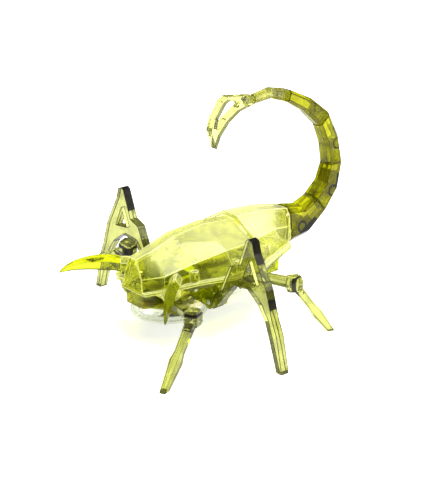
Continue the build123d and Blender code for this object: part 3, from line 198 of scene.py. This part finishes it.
# %% Sockets with operators
class Wire:
    """An output socket that can be used in expressions."""

    def __init__(self, tree, socket=None):
        self.tree = tree
        self.socket = socket

    def node(self, kind, settings=None, inputs=None, out=0):
        """Add a node, set its settings first, then its inputs, and return one output."""
        made = self.tree.nodes.new(kind)
        for key, value in (settings or {}).items():
            setattr(made, key, value)
        for key, value in (inputs or {}).items():
            for each in value if isinstance(value, list) else [value]:
                if isinstance(each, Wire):
                    self.tree.links.new(each.socket, made.inputs[key])
                else:
                    made.inputs[key].default_value = each
        return Wire(self.tree, made.outputs[out] if made.outputs else None)

    def math(self, operation, first, second=0.0):
        """One Math node."""
        return self.node("ShaderNodeMath", {"operation": operation}, {0: first, 1: second})

    def __add__(self, other):
        return self.math("ADD", self, other)

    __radd__ = __add__

    def __sub__(self, other):
        return self.math("SUBTRACT", self, other)

    def __rsub__(self, other):
        return self.math("SUBTRACT", other, self)

    def __mul__(self, other):
        return self.math("MULTIPLY", self, other)

    __rmul__ = __mul__

    def __abs__(self):
        return self.math("ABSOLUTE", self)

    def larger(self, other):
        """The larger of two values."""
        return self.math("MAXIMUM", self, other)

    def smaller(self, other):
        """The smaller of two values."""
        return self.math("MINIMUM", self, other)

    def step(self, low, high):
        """Smooth 0 to 1 between two values."""
        soft = {"interpolation_type": "SMOOTHSTEP"}
        return self.node("ShaderNodeMapRange", soft, {"Value": self, "From Min": low, "From Max": high})

    def between(self, low, high, soft=0.08):
        """1 where the value lies between two others, with a soft border."""
        return self.step(low - soft, low + soft) * (1 - self.step(high - soft, high + soft))

    def mix(self, first, second):
        """Colour mixed by this mask."""
        return self.node("ShaderNodeMix", {"data_type": "RGBA"}, {0: self, 6: first, 7: second}, out=2)

    def dot(self, direction):
        """Length along a direction; this wire is a vector."""
        dotted = {"operation": "DOT_PRODUCT"}
        return self.node("ShaderNodeVectorMath", dotted, {0: self, 1: direction}, out=1)

    def along(self, direction, through=(0, 0, 0)):
        """Millimetres along a direction from a point; this wire is a place."""
        unit = Vector(direction).normalized()
        return self.dot(tuple(unit / MM)) - unit.dot(Vector(through))

    def noise(self, per_mm, detail=3.0, distortion=0.0, stretch=(1, 1, 1)):
        """Noise with so many features in a millimetre, stretched along the axes."""
        turned = self.node("ShaderNodeMapping", {}, {"Vector": self, "Scale": stretch})
        fine = {"Vector": turned, "Scale": per_mm / MM, "Detail": detail, "Distortion": distortion}
        return self.node("ShaderNodeTexNoise", {}, fine)

    def shards(self, size_mm):
        """A random value for each of many straight-sided cells of about one size."""
        slanted = {"Vector": self, "Rotation": (0.3, 0.5, 0.6), "Scale": (0.45, 1, 1.3)}
        long_cut = self.node("ShaderNodeMapping", {}, slanted)
        sized = {"Vector": long_cut, "Scale": 1 / (size_mm * MM)}
        cells = self.node("ShaderNodeTexVoronoi", {}, sized, out=1)
        return cells.node("ShaderNodeSeparateColor", {}, {0: cells})

    def bump(self, height_mm, strength=1.0):
        """Bump from a height between 0 and 1."""
        return self.node(
            "ShaderNodeBump", {}, {"Strength": strength, "Distance": height_mm * MM, "Height": self}
        )


def colour(red, green, blue):
    """Colour for a socket from display values between 0 and 255."""
    return tuple(((v / 255 + 0.055) / 1.055) ** 2.4 for v in (red, green, blue)) + (1.0,)


print("Wire is ready; mid grey is", round(colour(128, 128, 128)[0], 3))


# %% Starting a finish
LAMP_SHARE = 0.7  # part of the glossy share that lamp light passes through


class Finish:
    """A new material: its shader, the place on the piece and the way the surface faces."""

    def __init__(self, name):
        self.material = bpy.data.materials.new(name)
        self.material.use_nodes = True
        self.tree = self.material.node_tree
        self.shader = next(n for n in self.tree.nodes if n.type == "BSDF_PRINCIPLED")
        self.output = next(n for n in self.tree.nodes if n.type == "OUTPUT_MATERIAL")
        start = Wire(self.tree)
        self.place = start.node("ShaderNodeTexCoord", out=3)
        self.facing = start.node("ShaderNodeTexCoord", out=1)

    def fixed(self, **values):
        """Values that are the same all over the surface."""
        for key, value in values.items():
            self.shader.inputs[key.replace("_", " ")].default_value = value

    def feed(self, **wires):
        """Values that change over the surface."""
        for key, wire in wires.items():
            self.tree.links.new(wire.socket, self.shader.inputs[key.replace("_", " ")])

    def edges(self, radius_mm, low=0.002, high=0.03):
        """1 on the corners of a moulding, where a rounded normal leaves the true one."""
        rounded = self.place.node("ShaderNodeBevel", {"samples": 6}, {"Radius": radius_mm * MM})
        true = self.place.node("ShaderNodeNewGeometry", out=1)
        return (1 - rounded.dot(true)).step(low, high)

    def see_through(self, solid, tint):
        """Show what is behind, tinted, where solid is under 1, and let most lamp light through."""
        through = self.place.node("ShaderNodeBsdfTransparent", {}, {"Color": tint})
        surface = Wire(self.tree, self.shader.outputs[0])
        to_lamp = self.place.node("ShaderNodeLightPath", out=1)
        share = solid * (1 - to_lamp * LAMP_SHARE)
        both = self.place.node("ShaderNodeMixShader", {}, {0: share, 1: through, 2: surface})
        self.tree.links.new(both.socket, self.output.inputs["Surface"])


def give(material, *nodes):
    """Put one finish on every slot of some nodes."""
    for node in nodes:
        piece = frame["nodes"][node]
        if not piece.material_slots:
            piece.data.materials.append(material)
        for place in piece.material_slots:
            place.material = material


print("finishes can be made")

# %% [markdown]
# ## Clear moulded plastic
# The covers, pincers, tail and legs could be injection-moulded in tinted polycarbonate; the covers
# and the tray have walls a millimetre thick.  Light that crosses a wall picks up its tint, so a
# single thin face looks pale, and two or three walls behind each other look strongly yellow-green.
# A solid glass shader would bend the light in every wall and hide the gears; thin walls hardly bend
# it, so a tinted transparent shader is mixed with a glossy one.  `solid` is the share of the glossy
# one: about 0.2 on the clearest covers and 0.9 on the thick legs.  It rises at the corners and along
# the faint flow lines.  The colour follows the soft clouds that the melt leaves, and the corners get
# a painted colour: painted shade where a corner of clear plastic looks dark, and a painted highlight
# on the pale covers.  On the covers and the tray, patches of painted shade also stand in for the
# light split by the facets inside.

# %% Clear plastic
CORNER_SOLID = 0.6
FLOW_SOLID = 0.16
FLOW_ROUGH = 0.04
PLASTIC_ROUGH = 0.02


def clear_plastic(
    name, pale, deep, tint, solid=0.4, corner=0.5, cloud=0.3, paint=None, clear=0.96, shard=0.0,
    shard_shade=None, shine=0.25,
):
    """A finish whose colour goes from pale on its faces to deep on its corners.

    The corner colour is painted shade, and on the covers a painted highlight.  corner is the radius of
    a corner and shard the size of a patch of painted shade, both in millimetres; clear is the share of
    light that goes on through the glossy part, and shine the strength of its mirror.
    """
    finish = Finish(name)
    edges = finish.edges(corner)
    melt = finish.place.noise(0.14, 2.0, 0.6, (1.0, 1.0, 1.6)).step(0.40, 0.68)
    flow = finish.place.noise(0.45, 3.0, 1.2, (0.35, 1.0, 1.0))
    depth = (edges + melt * cloud).smaller(1.0)
    opacity = (edges * CORNER_SOLID + (flow * FLOW_SOLID + (solid - FLOW_SOLID / 2))).smaller(1.0)
    # The corner colour is painted shade, and on the covers a painted highlight; the melt clouds are the
    # plastic's own tone.
    shade = depth.mix(pale, deep)
    if shard:
        # Half of the shard patches get painted shade, standing in for light split by the facets inside.
        painted_shards = finish.place.shards(shard).step(0.45, 0.55) * (1 - edges) * 0.7
        shade = painted_shards.mix(shade, shard_shade)
    roughness = flow * FLOW_ROUGH + (PLASTIC_ROUGH - 0.01)
    if paint:
        shade, opacity, roughness = paint(finish, shade, opacity, roughness)
    scuffs = finish.place.noise(2.6, 2.0, 0.0, (0.15, 1.0, 1.0))
    finish.fixed(IOR=1.5, Specular_IOR_Level=shine, Transmission_Weight=clear)
    relief = (flow * 0.8 + scuffs * 0.2).bump(0.03, 0.4)
    finish.feed(Base_Color=shade, Roughness=roughness, Normal=relief)
    finish.see_through(opacity, tint)
    return finish.material


print("clear plastic can be made")

# %% Covers
# The bright corner colour is a painted highlight on the corners of the covers.
CORNER_HIGHLIGHT = colour(255, 253, 206)
YELLOW_TINT = colour(246, 248, 176)
CREAM_TINT = colour(250, 251, 212)
TOP_FACE_HIGHLIGHT = colour(246, 245, 226)


def sunlit(finish, shade, opacity, roughness):
    """Painted highlight: paler and less clear on the faces that look up."""
    up = finish.facing.dot((0, 0, 1)).step(0.35, 0.85)
    return (up * 0.85).mix(shade, TOP_FACE_HIGHLIGHT), (opacity + up * 0.34).smaller(1.0), roughness


# The covers also get patches of painted shade from their shard colour.
cover_finish = clear_plastic(
    "clear_yellow_thorax", colour(232, 236, 132), CORNER_HIGHLIGHT, YELLOW_TINT, solid=0.16,
    corner=0.7, paint=sunlit, clear=0.45, shard=4.0, shard_shade=colour(170, 178, 10),
)
give(cover_finish, "thorax_cover")
abdomen_finish = clear_plastic(
    "clear_yellow_abdomen", colour(244, 244, 196), CORNER_HIGHLIGHT, CREAM_TINT, solid=0.24,
    corner=0.7, paint=sunlit, clear=0.35, shard=4.5, shard_shade=colour(222, 228, 90),
)
give(abdomen_finish, "abdomen_cover")
print("covers have their finish")


# %% Tray and deck
def orange_front_spots(finish, shade, opacity, roughness):
    """Orange spots low at the front of the tray, mixed in by noise."""
    low, high = box_mm("chassis_tray")
    front = finish.place.along((1, 0, 0)).step(high.x - 12.0, high.x - 5.0)
    under = 1 - finish.place.along((0, 0, 1)).step(low.z + 1.5, low.z + 4.5)
    spots = finish.place.noise(0.4, 2.0).step(0.45, 0.6)
    return (front * under * spots * 0.6).mix(shade, colour(238, 170, 70)), opacity, roughness


# The tray's deep corner colour and its shard colour are painted shade.
tray_finish = clear_plastic(
    "clear_yellow_tray", colour(214, 220, 24), colour(124, 130, 4), colour(238, 242, 104),
    solid=0.55, cloud=0.4, shard=3.4, shard_shade=colour(172, 178, 4), paint=orange_front_spots,
)
give(tray_finish, "chassis_tray", "gearbox_deck")
print("tray and deck have their finish")

# %% [markdown]
# ## Pincers
# The two pincers are solid mouldings, thickest at the root and thin at the tip.  They are a clean
# bright yellow-green, deeper above and paler below, with darker corners that are painted shade.  The
# same plastic serves, with a stronger tint and a larger solid share.

# %% Pincers
DEEP_YELLOW = colour(206, 214, 10)


def pincer_paint(finish, shade, opacity, roughness):
    """Deeper towards the upper edge."""
    low, high = box_mm("pincer_left")
    rise = finish.place.along((0, 0, 1)).step(low.z, high.z)
    return (rise * 0.6).mix(shade, DEEP_YELLOW), opacity, roughness


pincer_finish = clear_plastic(
    "clear_yellow_pincer", colour(226, 230, 50), colour(120, 126, 6), colour(240, 244, 110),
    solid=0.9, paint=pincer_paint,
)
give(pincer_finish, "pincer_left", "pincer_right")
print("pincers have their finish")

# %% [markdown]
# ## Legs with painted bands
# Each leg is a clear olive moulding with short black bands, which could be pad-printed: two across
# each front knee, one across each rear knee, and three on the narrow rim of each arched middle leg.
# A band is a range of distances along one direction, so a mask from the place paints it.  A picture
# would need a UV map for every leg; the mask needs only the middle of the knee.

# %% Leg finishes
PALE_OLIVE = colour(196, 199, 122)
# The deep olive is painted shade on the corners of the clear legs.
OLIVE_CORNER_SHADE = colour(48, 48, 10)
OLIVE_TINT = colour(226, 230, 150)
BLACK_INK = colour(12, 10, 6)


def banded(bands):
    """Black ink where bands gives 1, with no light through it."""

    def paint(finish, shade, opacity, roughness):
        mask = bands(finish)
        return mask.mix(shade, BLACK_INK), opacity.larger(mask), roughness + mask * 0.25

    return paint


PEAK_BAND = 7.1  # down from the top of the leg
OUTER_FROM = 22.2  # from the middle of the body
OUTER_BAND = (18.6, 21.6)  # heights
INNER_BAND = (26.3, 28.3)


def rim_bands(finish):
    """Three bands on the rim of an arched middle leg."""
    height = finish.place.along((0, 0, 1))
    rim = 1 - abs(finish.facing.dot((1, 0, 0))).step(0.3, 0.5)
    low, high = box_mm("leg_middle_left")
    peak = height.step(high.z - PEAK_BAND - 0.1, high.z - PEAK_BAND + 0.1)
    outer = abs(finish.place.along((0, 1, 0))).step(OUTER_FROM - 0.2, OUTER_FROM + 0.2)
    bands = peak + outer * height.between(*OUTER_BAND) + (1 - outer) * height.between(*INNER_BAND)
    return rim * bands.smaller(1.0)


LEG_SOLID = 0.92
LEG_SHINE = 0.12
middle_finish = clear_plastic(
    "clear_olive_middle_leg", PALE_OLIVE, OLIVE_CORNER_SHADE, OLIVE_TINT, solid=LEG_SOLID, corner=0.3,
    paint=banded(rim_bands), shine=LEG_SHINE,
)
give(middle_finish, "leg_middle_left", "leg_middle_right")
print("middle legs have their finish")

# %% Knee bands of the front and rear legs
KNEE_REACH = 5.3


def knee_bands(knee, direction, places):
    """Bands square to a direction at the knee, each a pair of distances from the knee's middle."""

    def bands(finish):
        away = finish.place.along(direction, knee)
        measure = {"operation": "DISTANCE"}
        ends = {0: finish.place, 1: tuple(Vector(knee) * MM)}
        aside = finish.place.node("ShaderNodeVectorMath", measure, ends, out=1) * (1 / MM)
        near = 1 - aside.step(KNEE_REACH - 0.1, KNEE_REACH + 0.1)
        total = sum((away.between(low, high) for low, high in places[1:]), away.between(*places[0]))
        return (near * total).smaller(1.0)

    return bands


FRONT_KNEE = Vector((LEG_PLANE_X + 18.3, 26.0, 16.4))
REAR_KNEE = Vector((LEG_PLANE_X - 22.3, 25.2, 16.4))
FRONT_BANDS = ((0.8, 1.9), (-3.5, -2.2))
REAR_BANDS = ((0.9, 1.9),)
REAR_OUT = (-0.2, 0.98)


def finish_leg(name, bands):
    """Give a front or rear leg its olive plastic and its bands."""
    leg_finish = clear_plastic(
        f"clear_olive_{name}_leg", PALE_OLIVE, OLIVE_CORNER_SHADE, OLIVE_TINT, solid=LEG_SOLID, corner=0.2,
        paint=banded(bands), shine=LEG_SHINE,
    )
    give(leg_finish, f"leg_{name}")
    print(f"leg_{name} has its finish")


finish_leg("front_left", knee_bands(FRONT_KNEE, (0, 0, 1), FRONT_BANDS))
finish_leg("rear_left", knee_bands(REAR_KNEE, (*REAR_OUT, 0), REAR_BANDS))

# %% [markdown]
# ## Bands on the right legs
# The right legs are the left ones mirrored, and at rest the front right leg is at the other end of
# its stroke.  Its knee is therefore found by turning the mirrored knee about that leg's own hip
# joint, as the joint itself would.

# %% Finishes of the right legs
hip = JOINTS["hip_front_right"]
hip_place = Vector(hip["pos_m"]) / MM
hip_axis = Vector(hip["axis"]).normalized()
FRONT_STROKE_DEG = 56.0
swing = Matrix.Rotation(math.radians(-FRONT_STROKE_DEG), 3, hip_axis)
mirror = Matrix.Diagonal((1, -1, 1))
right_knee = hip_place + swing @ (mirror @ FRONT_KNEE - hip_place)
finish_leg("front_right", knee_bands(right_knee, tuple(swing @ Vector((0, 0, 1))), FRONT_BANDS))
finish_leg("rear_right", knee_bands(mirror @ REAR_KNEE, tuple(mirror @ Vector((*REAR_OUT, 0))), REAR_BANDS))
print("right front knee at", [round(v, 1) for v in right_knee])

# %% [markdown]
# ## Tail
# Five hollow links and a forked stinger curl up and forward.  The lower links are darker, partly
# from the tint of side walls that lie behind each other and partly from painted shade in their
# colours, with a painted bright window near each hinge for the light that comes straight through,
# and the colours get paler towards the tip.  A dark ring round each hinge and a dark outer rim are
# painted shade as well.  Each link has its own direction, so its finish measures the way along the
# link and the way out from the curl, both from the hinge points.  That paints window, hinge eye and
# rim in the same place on every link, whatever its angle.

# %% Tail finishes
curl_middle = sum(TAIL_HINGES, Vector()) / len(TAIL_HINGES)
# The darker colours of the lower links are partly painted shade for walls lying behind each other; the second
# colour of each is painted corner shade.
TAIL_SHADES = [
    (colour(178, 176, 0), colour(50, 48, 2), 0.86),
    (colour(190, 188, 0), colour(54, 52, 2), 0.86),
    (colour(214, 214, 0), colour(66, 62, 2), 0.88),
    (colour(206, 206, 0), colour(66, 62, 4), 0.88),
    (colour(226, 226, 150), colour(100, 98, 30), 0.85),
]
DARK_SHARES = (1.0, 1.0, 0.9, 0.5, 0.2)
TAIL_TINT = colour(214, 214, 40)
WINDOW_LIGHT = colour(240, 246, 16)
RIM_SHADE = colour(14, 12, 4)
EYE_OUT = 1.6
EYE_RING = (1.8, 4.2)


def link_paint(start, end, strength):
    """Painted light in a bright window near the link's first hinge, and painted shade in a dark hinge eye and
    a dark outer rim.

    The eye is a ring: EYE_RING holds the squares of its inner and outer radius.
    """
    way = (end - start).normalized()
    out_way = (start + end) / 2 - curl_middle
    out_way = (out_way - way * out_way.dot(way)).normalized()
    length = (end - start).length

    def paint(finish, shade, opacity, roughness):
        far = finish.place.along(way, start)
        out = finish.place.along(out_way, start)
        side = abs(finish.facing.dot((0, 1, 0))).step(0.5, 0.7)
        window = side * far.between(-0.33 * length, -0.13 * length, 0.25) * out.between(-3.2, 0.6, 0.25)
        glow = (1 - out.step(-2.6, -1.9)) * far.between(0.0, 0.6 * length, 0.5) * 0.8
        eye_out = out - EYE_OUT
        flank = abs(finish.facing.dot((0, 1, 0))).step(0.15, 0.3)
        eye = (far * far + eye_out * eye_out).between(*EYE_RING, 0.2) * flank
        rim = flank * out.step(2.5, 2.8) * far.between(-0.3 * length, 0.4 * length, 0.3)
        # The eye and the rim are painted shade; the colour of the window and the glow is painted light.
        dark = (eye.larger(rim) * strength).smaller(1.0)
        bright = window.larger(glow)
        shade = dark.mix(bright.mix(shade, WINDOW_LIGHT), RIM_SHADE)
        return shade, (opacity - window * 0.35).larger(dark), roughness

    return paint


for number, ((pale, deep, solid), dark_share) in enumerate(zip(TAIL_SHADES, DARK_SHARES), start=1):
    link_finish = clear_plastic(
        f"clear_tail_{number}", pale, deep, TAIL_TINT, solid=solid, corner=0.25, clear=0.75,
        shine=0.06, paint=link_paint(TAIL_HINGES[number - 1], TAIL_HINGES[number], dark_share),
    )
    give(link_finish, f"tail_link_{number}")
stinger_finish = clear_plastic(
    "clear_stinger", colour(236, 238, 176), colour(168, 170, 60), colour(238, 240, 170), solid=0.9,
    corner=0.4,
)
give(stinger_finish, "stinger")
print("five links and the stinger have their finish")

# %% [markdown]
# ## Battery cup and belly
# The battery cup, its door and the belly housing are colourless.  They nearly vanish on a white
# floor, and only their corners draw a thin grey line.  So the same clear plastic is used with hardly
# any solid share and a grey painted shade on the corners.

# %% Colourless plastic
cup_finish = clear_plastic(
    "clear_cup", colour(246, 247, 244), colour(176, 178, 172), colour(250, 251, 248), solid=0.12,
    corner=0.3, cloud=0.05,
)
give(cup_finish, "battery_cup", "battery_door", "belly_housing")
print("cup, door and belly have their finish")

# %% [markdown]
# ## Works inside
# Behind the clear walls are pale nylon gears and drag plates, steel pins and screws, brass contacts,
# a green board and a black switch.  Seen through yellow walls they read as pale and dark shapes, so
# each gets a finish of its own: drawn steel has fine lines, nylon is slightly waxy, and the board
# shows its copper tracks as a pattern of stripes under the green.

# %% Opaque finishes
def plain_finish(name, light, dark, per_mm, rough, height_mm, metal=0.0, stretch=(1, 1, 1)):
    """Two shades of one colour by noise, so many grains in a millimetre, with its own roughness and bump."""
    finish = Finish(name)
    grain = finish.place.noise(per_mm, 4.0, 0.3, stretch)
    cloud = finish.place.noise(0.2, 2.0)
    # Corners are mixed part way towards the lighter colour.
    paler_corners = finish.edges(0.2)
    shade = (grain * 0.6 + cloud * 0.4).step(0.35, 0.65).mix(dark, light)
    finish.fixed(Metallic=metal)
    finish.feed(
        Base_Color=(paler_corners * 0.4).mix(shade, light),
        Roughness=grain * 0.18 + (rough - 0.09),
        Normal=grain.bump(height_mm, 0.7),
    )
    return finish.material


steel = plain_finish(
    "drawn_steel", colour(222, 222, 218), colour(176, 176, 172), 6.0, 0.26, 0.02, 1.0, (1, 1, 6)
)
brass = plain_finish(
    "spring_brass", colour(232, 204, 120), colour(190, 152, 70), 4.0, 0.3, 0.02, 1.0, (6, 1, 1)
)
nylon = plain_finish("waxy_nylon", colour(232, 228, 190), colour(206, 202, 156), 1.6, 0.42, 0.03)
ink_black = plain_finish("black_plastic", colour(44, 44, 42), colour(20, 20, 20), 3.0, 0.38, 0.03)
cell_steel = plain_finish("cell_steel", colour(240, 240, 236), colour(206, 206, 202), 2.0, 0.2, 0.01, 1.0)
print("steel, brass, nylon, black and cell finishes made")

# %% Board with tracks under its green
board = Finish("green_board")
across = board.place.along((1, 1, 0))
tracks = abs(across.math("PINGPONG", across, 0.8) - 0.4).between(0.0, 0.16, 0.03)
weave = board.place.noise(5.0, 2.0)
board_shade = (tracks * 0.7).mix(colour(84, 98, 40), colour(116, 128, 58))
board.feed(
    Base_Color=(weave * 0.2).mix(board_shade, colour(130, 140, 84)),
    Roughness=weave * 0.1 + 0.3,
    Normal=tracks.bump(0.03, 0.8),
)
give(board.material, "circuit_board")
print("board finish made")

# %% Give the works their finishes
FINISH_OF_SLOT = {"steel": steel, "brass": brass, "nylon": nylon, "black": ink_black}
given = 0
for subpart in frame["record"]["subparts"]:
    finish_here = FINISH_OF_SLOT.get(subpart["material_slot"])
    if finish_here:
        give(finish_here, subpart["node"])
        given += 1
give(cell_steel, "button_cell_1", "button_cell_2", "button_cell_3")
print("plain finishes given to", given, "nodes")

# %% [markdown]
# ## Growing repeated details
# Screw crosses, rivet heads and solder pads repeat, so Geometry Nodes places them: a small tree
# takes points and puts a copy of one shape on each.  Copying by hand would do for a few of them, but
# a tree keeps its sizes as named inputs, so one number changes them all.  Each result is turned into
# a plain mesh that rides on one body.

# %% A tree for copies on points
def new_tree(name, sizes):
    """A Geometry Nodes tree with named size inputs; returns the tree and its input wires."""
    tree = bpy.data.node_groups.new(name, "GeometryNodeTree")
    tree.interface.new_socket("Start", in_out="INPUT", socket_type="NodeSocketGeometry")
    for size, kind in sizes.items():
        tree.interface.new_socket(size, in_out="INPUT", socket_type=kind)
    tree.interface.new_socket("Finish", in_out="INPUT", socket_type="NodeSocketMaterial")
    tree.interface.new_socket("Result", in_out="OUTPUT", socket_type="NodeSocketGeometry")
    entry = tree.nodes.new("NodeGroupInput")
    return tree, {socket.name: Wire(tree, socket) for socket in entry.outputs if socket.name}


def close_tree(tree, wires, result):
    """Make all copies real, give them their finish and hand them out."""
    start = Wire(tree)
    real = start.node("GeometryNodeRealizeInstances", {}, {"Geometry": result})
    done = start.node("GeometryNodeSetMaterial", {}, {"Geometry": real, "Material": wires["Finish"]})
    exit_node = tree.nodes.new("NodeGroupOutput")
    tree.links.new(done.socket, exit_node.inputs[0])


def on_points(tree, wires, shape):
    """A copy of the shape on every starting point."""
    return Wire(tree).node("GeometryNodeInstanceOnPoints", {}, {"Points": wires["Start"], "Instance": shape})


def grow(tree, name, start, body, slot, **sizes):
    """Run a tree on points or on a node's shape, and keep the result as a plain mesh that rides."""
    if isinstance(start, str):
        mesh = frame["nodes"][start].data.copy()
    else:
        mesh = bpy.data.meshes.new(name)
        mesh.from_pydata([tuple(Vector(point) * MM) for point in start], [], [])
    piece = bpy.data.objects.new(name, mesh)
    bpy.context.scene.collection.objects.link(piece)
    modifier = piece.modifiers.new("grow", "NODES")
    modifier.node_group = tree
    wanted = {key.replace("_", " "): value for key, value in sizes.items()}
    for socket in tree.interface.items_tree:
        if socket.in_out == "INPUT" and socket.name in wanted:
            modifier[socket.identifier] = wanted[socket.name]
    bpy.context.view_layer.update()
    result = piece.evaluated_get(bpy.context.evaluated_depsgraph_get())
    plain = bpy.data.meshes.new_from_object(result)
    piece.modifiers.clear()
    piece.data = plain
    plain.name = name
    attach(piece, body)
    print(name, len(plain.polygons), "faces")


def body_of(node):
    """The body that a node rides on."""
    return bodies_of(frame["nodes"][node])[0]


print("trees can be grown")

# %% [markdown]
# ## Screw crosses and rivet heads
# Every screw head has a cross for the driver, and it faces down, where the screws go in.  The cross
# is two crossing bars of black plastic half sunk in the head: painted shade standing for the dark
# slot.  The hinge pins of the tail end in small domed rivet heads on both sides.  A rivet head is a
# flattened ball half sunk in the pin's end, so it is closed and never leaves a seam.

# %% Driver crosses
cross_tree, cross = new_tree("driver_cross", {k: "NodeSocketFloat" for k in ("Arm", "Width", "Depth")})
maker = Wire(cross_tree)
bars = []
for order in (("Arm", "Width"), ("Width", "Arm")):
    size = maker.node("ShaderNodeCombineXYZ", {}, {0: cross[order[0]], 1: cross[order[1]], 2: cross["Depth"]})
    bars.append(maker.node("GeometryNodeMeshCube", {}, {"Size": size}))
both_bars = maker.node("GeometryNodeJoinGeometry", {}, {0: bars})
close_tree(cross_tree, cross, on_points(cross_tree, cross, both_bars))
screws = [name for name in frame["nodes"] if "screw" in name]
heads = []
for name in screws:
    low, high = box_mm(name)
    heads.append(((low.x + high.x) / 2, (low.y + high.y) / 2, low.z))
# The black crosses are painted shade for the slots.
grow(
    cross_tree, "driver_crosses", heads, "chassis", "black",
    Arm=1.3 * MM, Width=0.3 * MM, Depth=0.06 * MM, Finish=ink_black,
)

# %% Rivet heads
RIVET_OVER_PIN = 1.25
rivet_tree, rivet = new_tree("rivet_head", {k: "NodeSocketFloat" for k in ("Radius", "Rise")})
maker = Wire(rivet_tree)
ball = maker.node("GeometryNodeMeshUVSphere", {}, {"Segments": 20, "Rings": 10, "Radius": rivet["Radius"]})
flatness = maker.math("DIVIDE", rivet["Rise"], rivet["Radius"])
flat = maker.node("ShaderNodeCombineXYZ", {}, {0: 1.0, 1: flatness, 2: 1.0})
head = maker.node("GeometryNodeTransform", {}, {"Geometry": ball, "Scale": flat})
close_tree(rivet_tree, rivet, on_points(rivet_tree, rivet, head))
for number in range(1, 7):
    pin = f"tail_pin_{number}"
    low, high = box_mm(pin)
    ends = [((low.x + high.x) / 2, y, (low.z + high.z) / 2) for y in (low.y, high.y)]
    radius = (high.z - low.z) / 2
    grow(
        rivet_tree, f"rivet_heads_{number}", ends, body_of(pin), "steel",
        Radius=radius * RIVET_OVER_PIN * MM, Rise=0.22 * MM, Finish=steel,
    )

# %% [markdown]
# ## Solder pads
# The board carries a row of solder pads along each long edge of its lower face.  Each pad is a flat
# brass disc half sunk in the board, and one tree puts them all in place from a list of points.

# %% Solder pads
pad_tree, pad = new_tree("solder_pads", {"Radius": "NodeSocketFloat", "Depth": "NodeSocketFloat"})
maker = Wire(pad_tree)
round_pad = {"Vertices": 12, "Radius": pad["Radius"], "Depth": pad["Depth"]}
disc = maker.node("GeometryNodeMeshCylinder", {}, round_pad)
close_tree(pad_tree, pad, on_points(pad_tree, pad, disc))
low, high = box_mm("circuit_board")
PAD_STEP = 1.6
EDGE_ROOM = 1.2
columns = int((high.x - low.x - 2 * EDGE_ROOM) / PAD_STEP)
rows = int((high.y - low.y - 2 * EDGE_ROOM) / PAD_STEP)
pads = [
    (low.x + EDGE_ROOM + column * PAD_STEP, low.y + EDGE_ROOM + row * PAD_STEP, low.z)
    for column in range(columns + 1)
    for row in range(rows + 1)
    if row in (0, rows)
]
grow(
    pad_tree, "solder_pads", pads, "chassis", "brass",
    Radius=0.45 * MM, Depth=0.08 * MM, Finish=brass,
)

# %% [markdown]
# ## Lines along the corners
# A corner of a clear moulding catches the light all along its length: it shines on the pale covers
# and draws a dark line on the tail and the arched legs.  A shader alone can't find a corner sharply,
# so a thin line of its own follows each one.  The tree welds a copy of the moulding, keeps the edges
# whose faces meet at more than a given angle, sinks them just under the surface, and sweeps a small
# circle along them.

# %% Corner lines
LINE_DEPTH = 1.8
line_tree, line = new_tree("corner_lines", {"Angle": "NodeSocketFloat", "Radius": "NodeSocketFloat"})
maker = Wire(line_tree)
welded = maker.node("GeometryNodeMergeByDistance", {}, {"Geometry": line["Start"], "Distance": 0.01 * MM})
normal = maker.node("GeometryNodeInputNormal")
depth = line["Radius"] * -LINE_DEPTH
inward = maker.node("ShaderNodeVectorMath", {"operation": "SCALE"}, {0: normal, "Scale": depth})
sunk = maker.node("GeometryNodeSetPosition", {}, {"Geometry": welded, "Offset": inward})
bend = maker.node("GeometryNodeInputMeshEdgeAngle")
sharp = maker.node("FunctionNodeCompare", {"operation": "GREATER_THAN"}, {0: bend, 1: line["Angle"]})
path = maker.node("GeometryNodeMeshToCurve", {}, {"Mesh": sunk, "Selection": sharp})
ring = {"Resolution": 6, "Radius": line["Radius"]}
circle = maker.node("GeometryNodeCurvePrimitiveCircle", {}, ring)
swept = {"Curve": path, "Profile Curve": circle, "Fill Caps": True}
tube = maker.node("GeometryNodeCurveToMesh", {}, swept)
close_tree(line_tree, line, tube)
print("corner line tree has", len(line_tree.nodes), "nodes")

# %% Grow the corner lines
shining = plain_finish("shining_corner", colour(255, 253, 206), colour(240, 242, 120), 0.6, 0.2, 0.02)
shaded = plain_finish("shaded_corner", colour(96, 94, 14), colour(22, 22, 4), 0.6, 0.25, 0.02)
for node in ("thorax_cover", "abdomen_cover"):
    grow(
        line_tree, f"corner_lines_{node}", node, body_of(node), "body_yellow",
        Angle=0.3, Radius=0.1 * MM, Finish=shining,
    )
for node in (*(f"tail_link_{n}" for n in range(1, 5)), "leg_middle_left", "leg_middle_right"):
    slot = "tail_olive" if "tail" in node else "leg_olive"
    grow(
        line_tree, f"corner_lines_{node}", node, body_of(node), slot,
        Angle=0.4, Radius=0.08 * MM, Finish=shaded,
    )
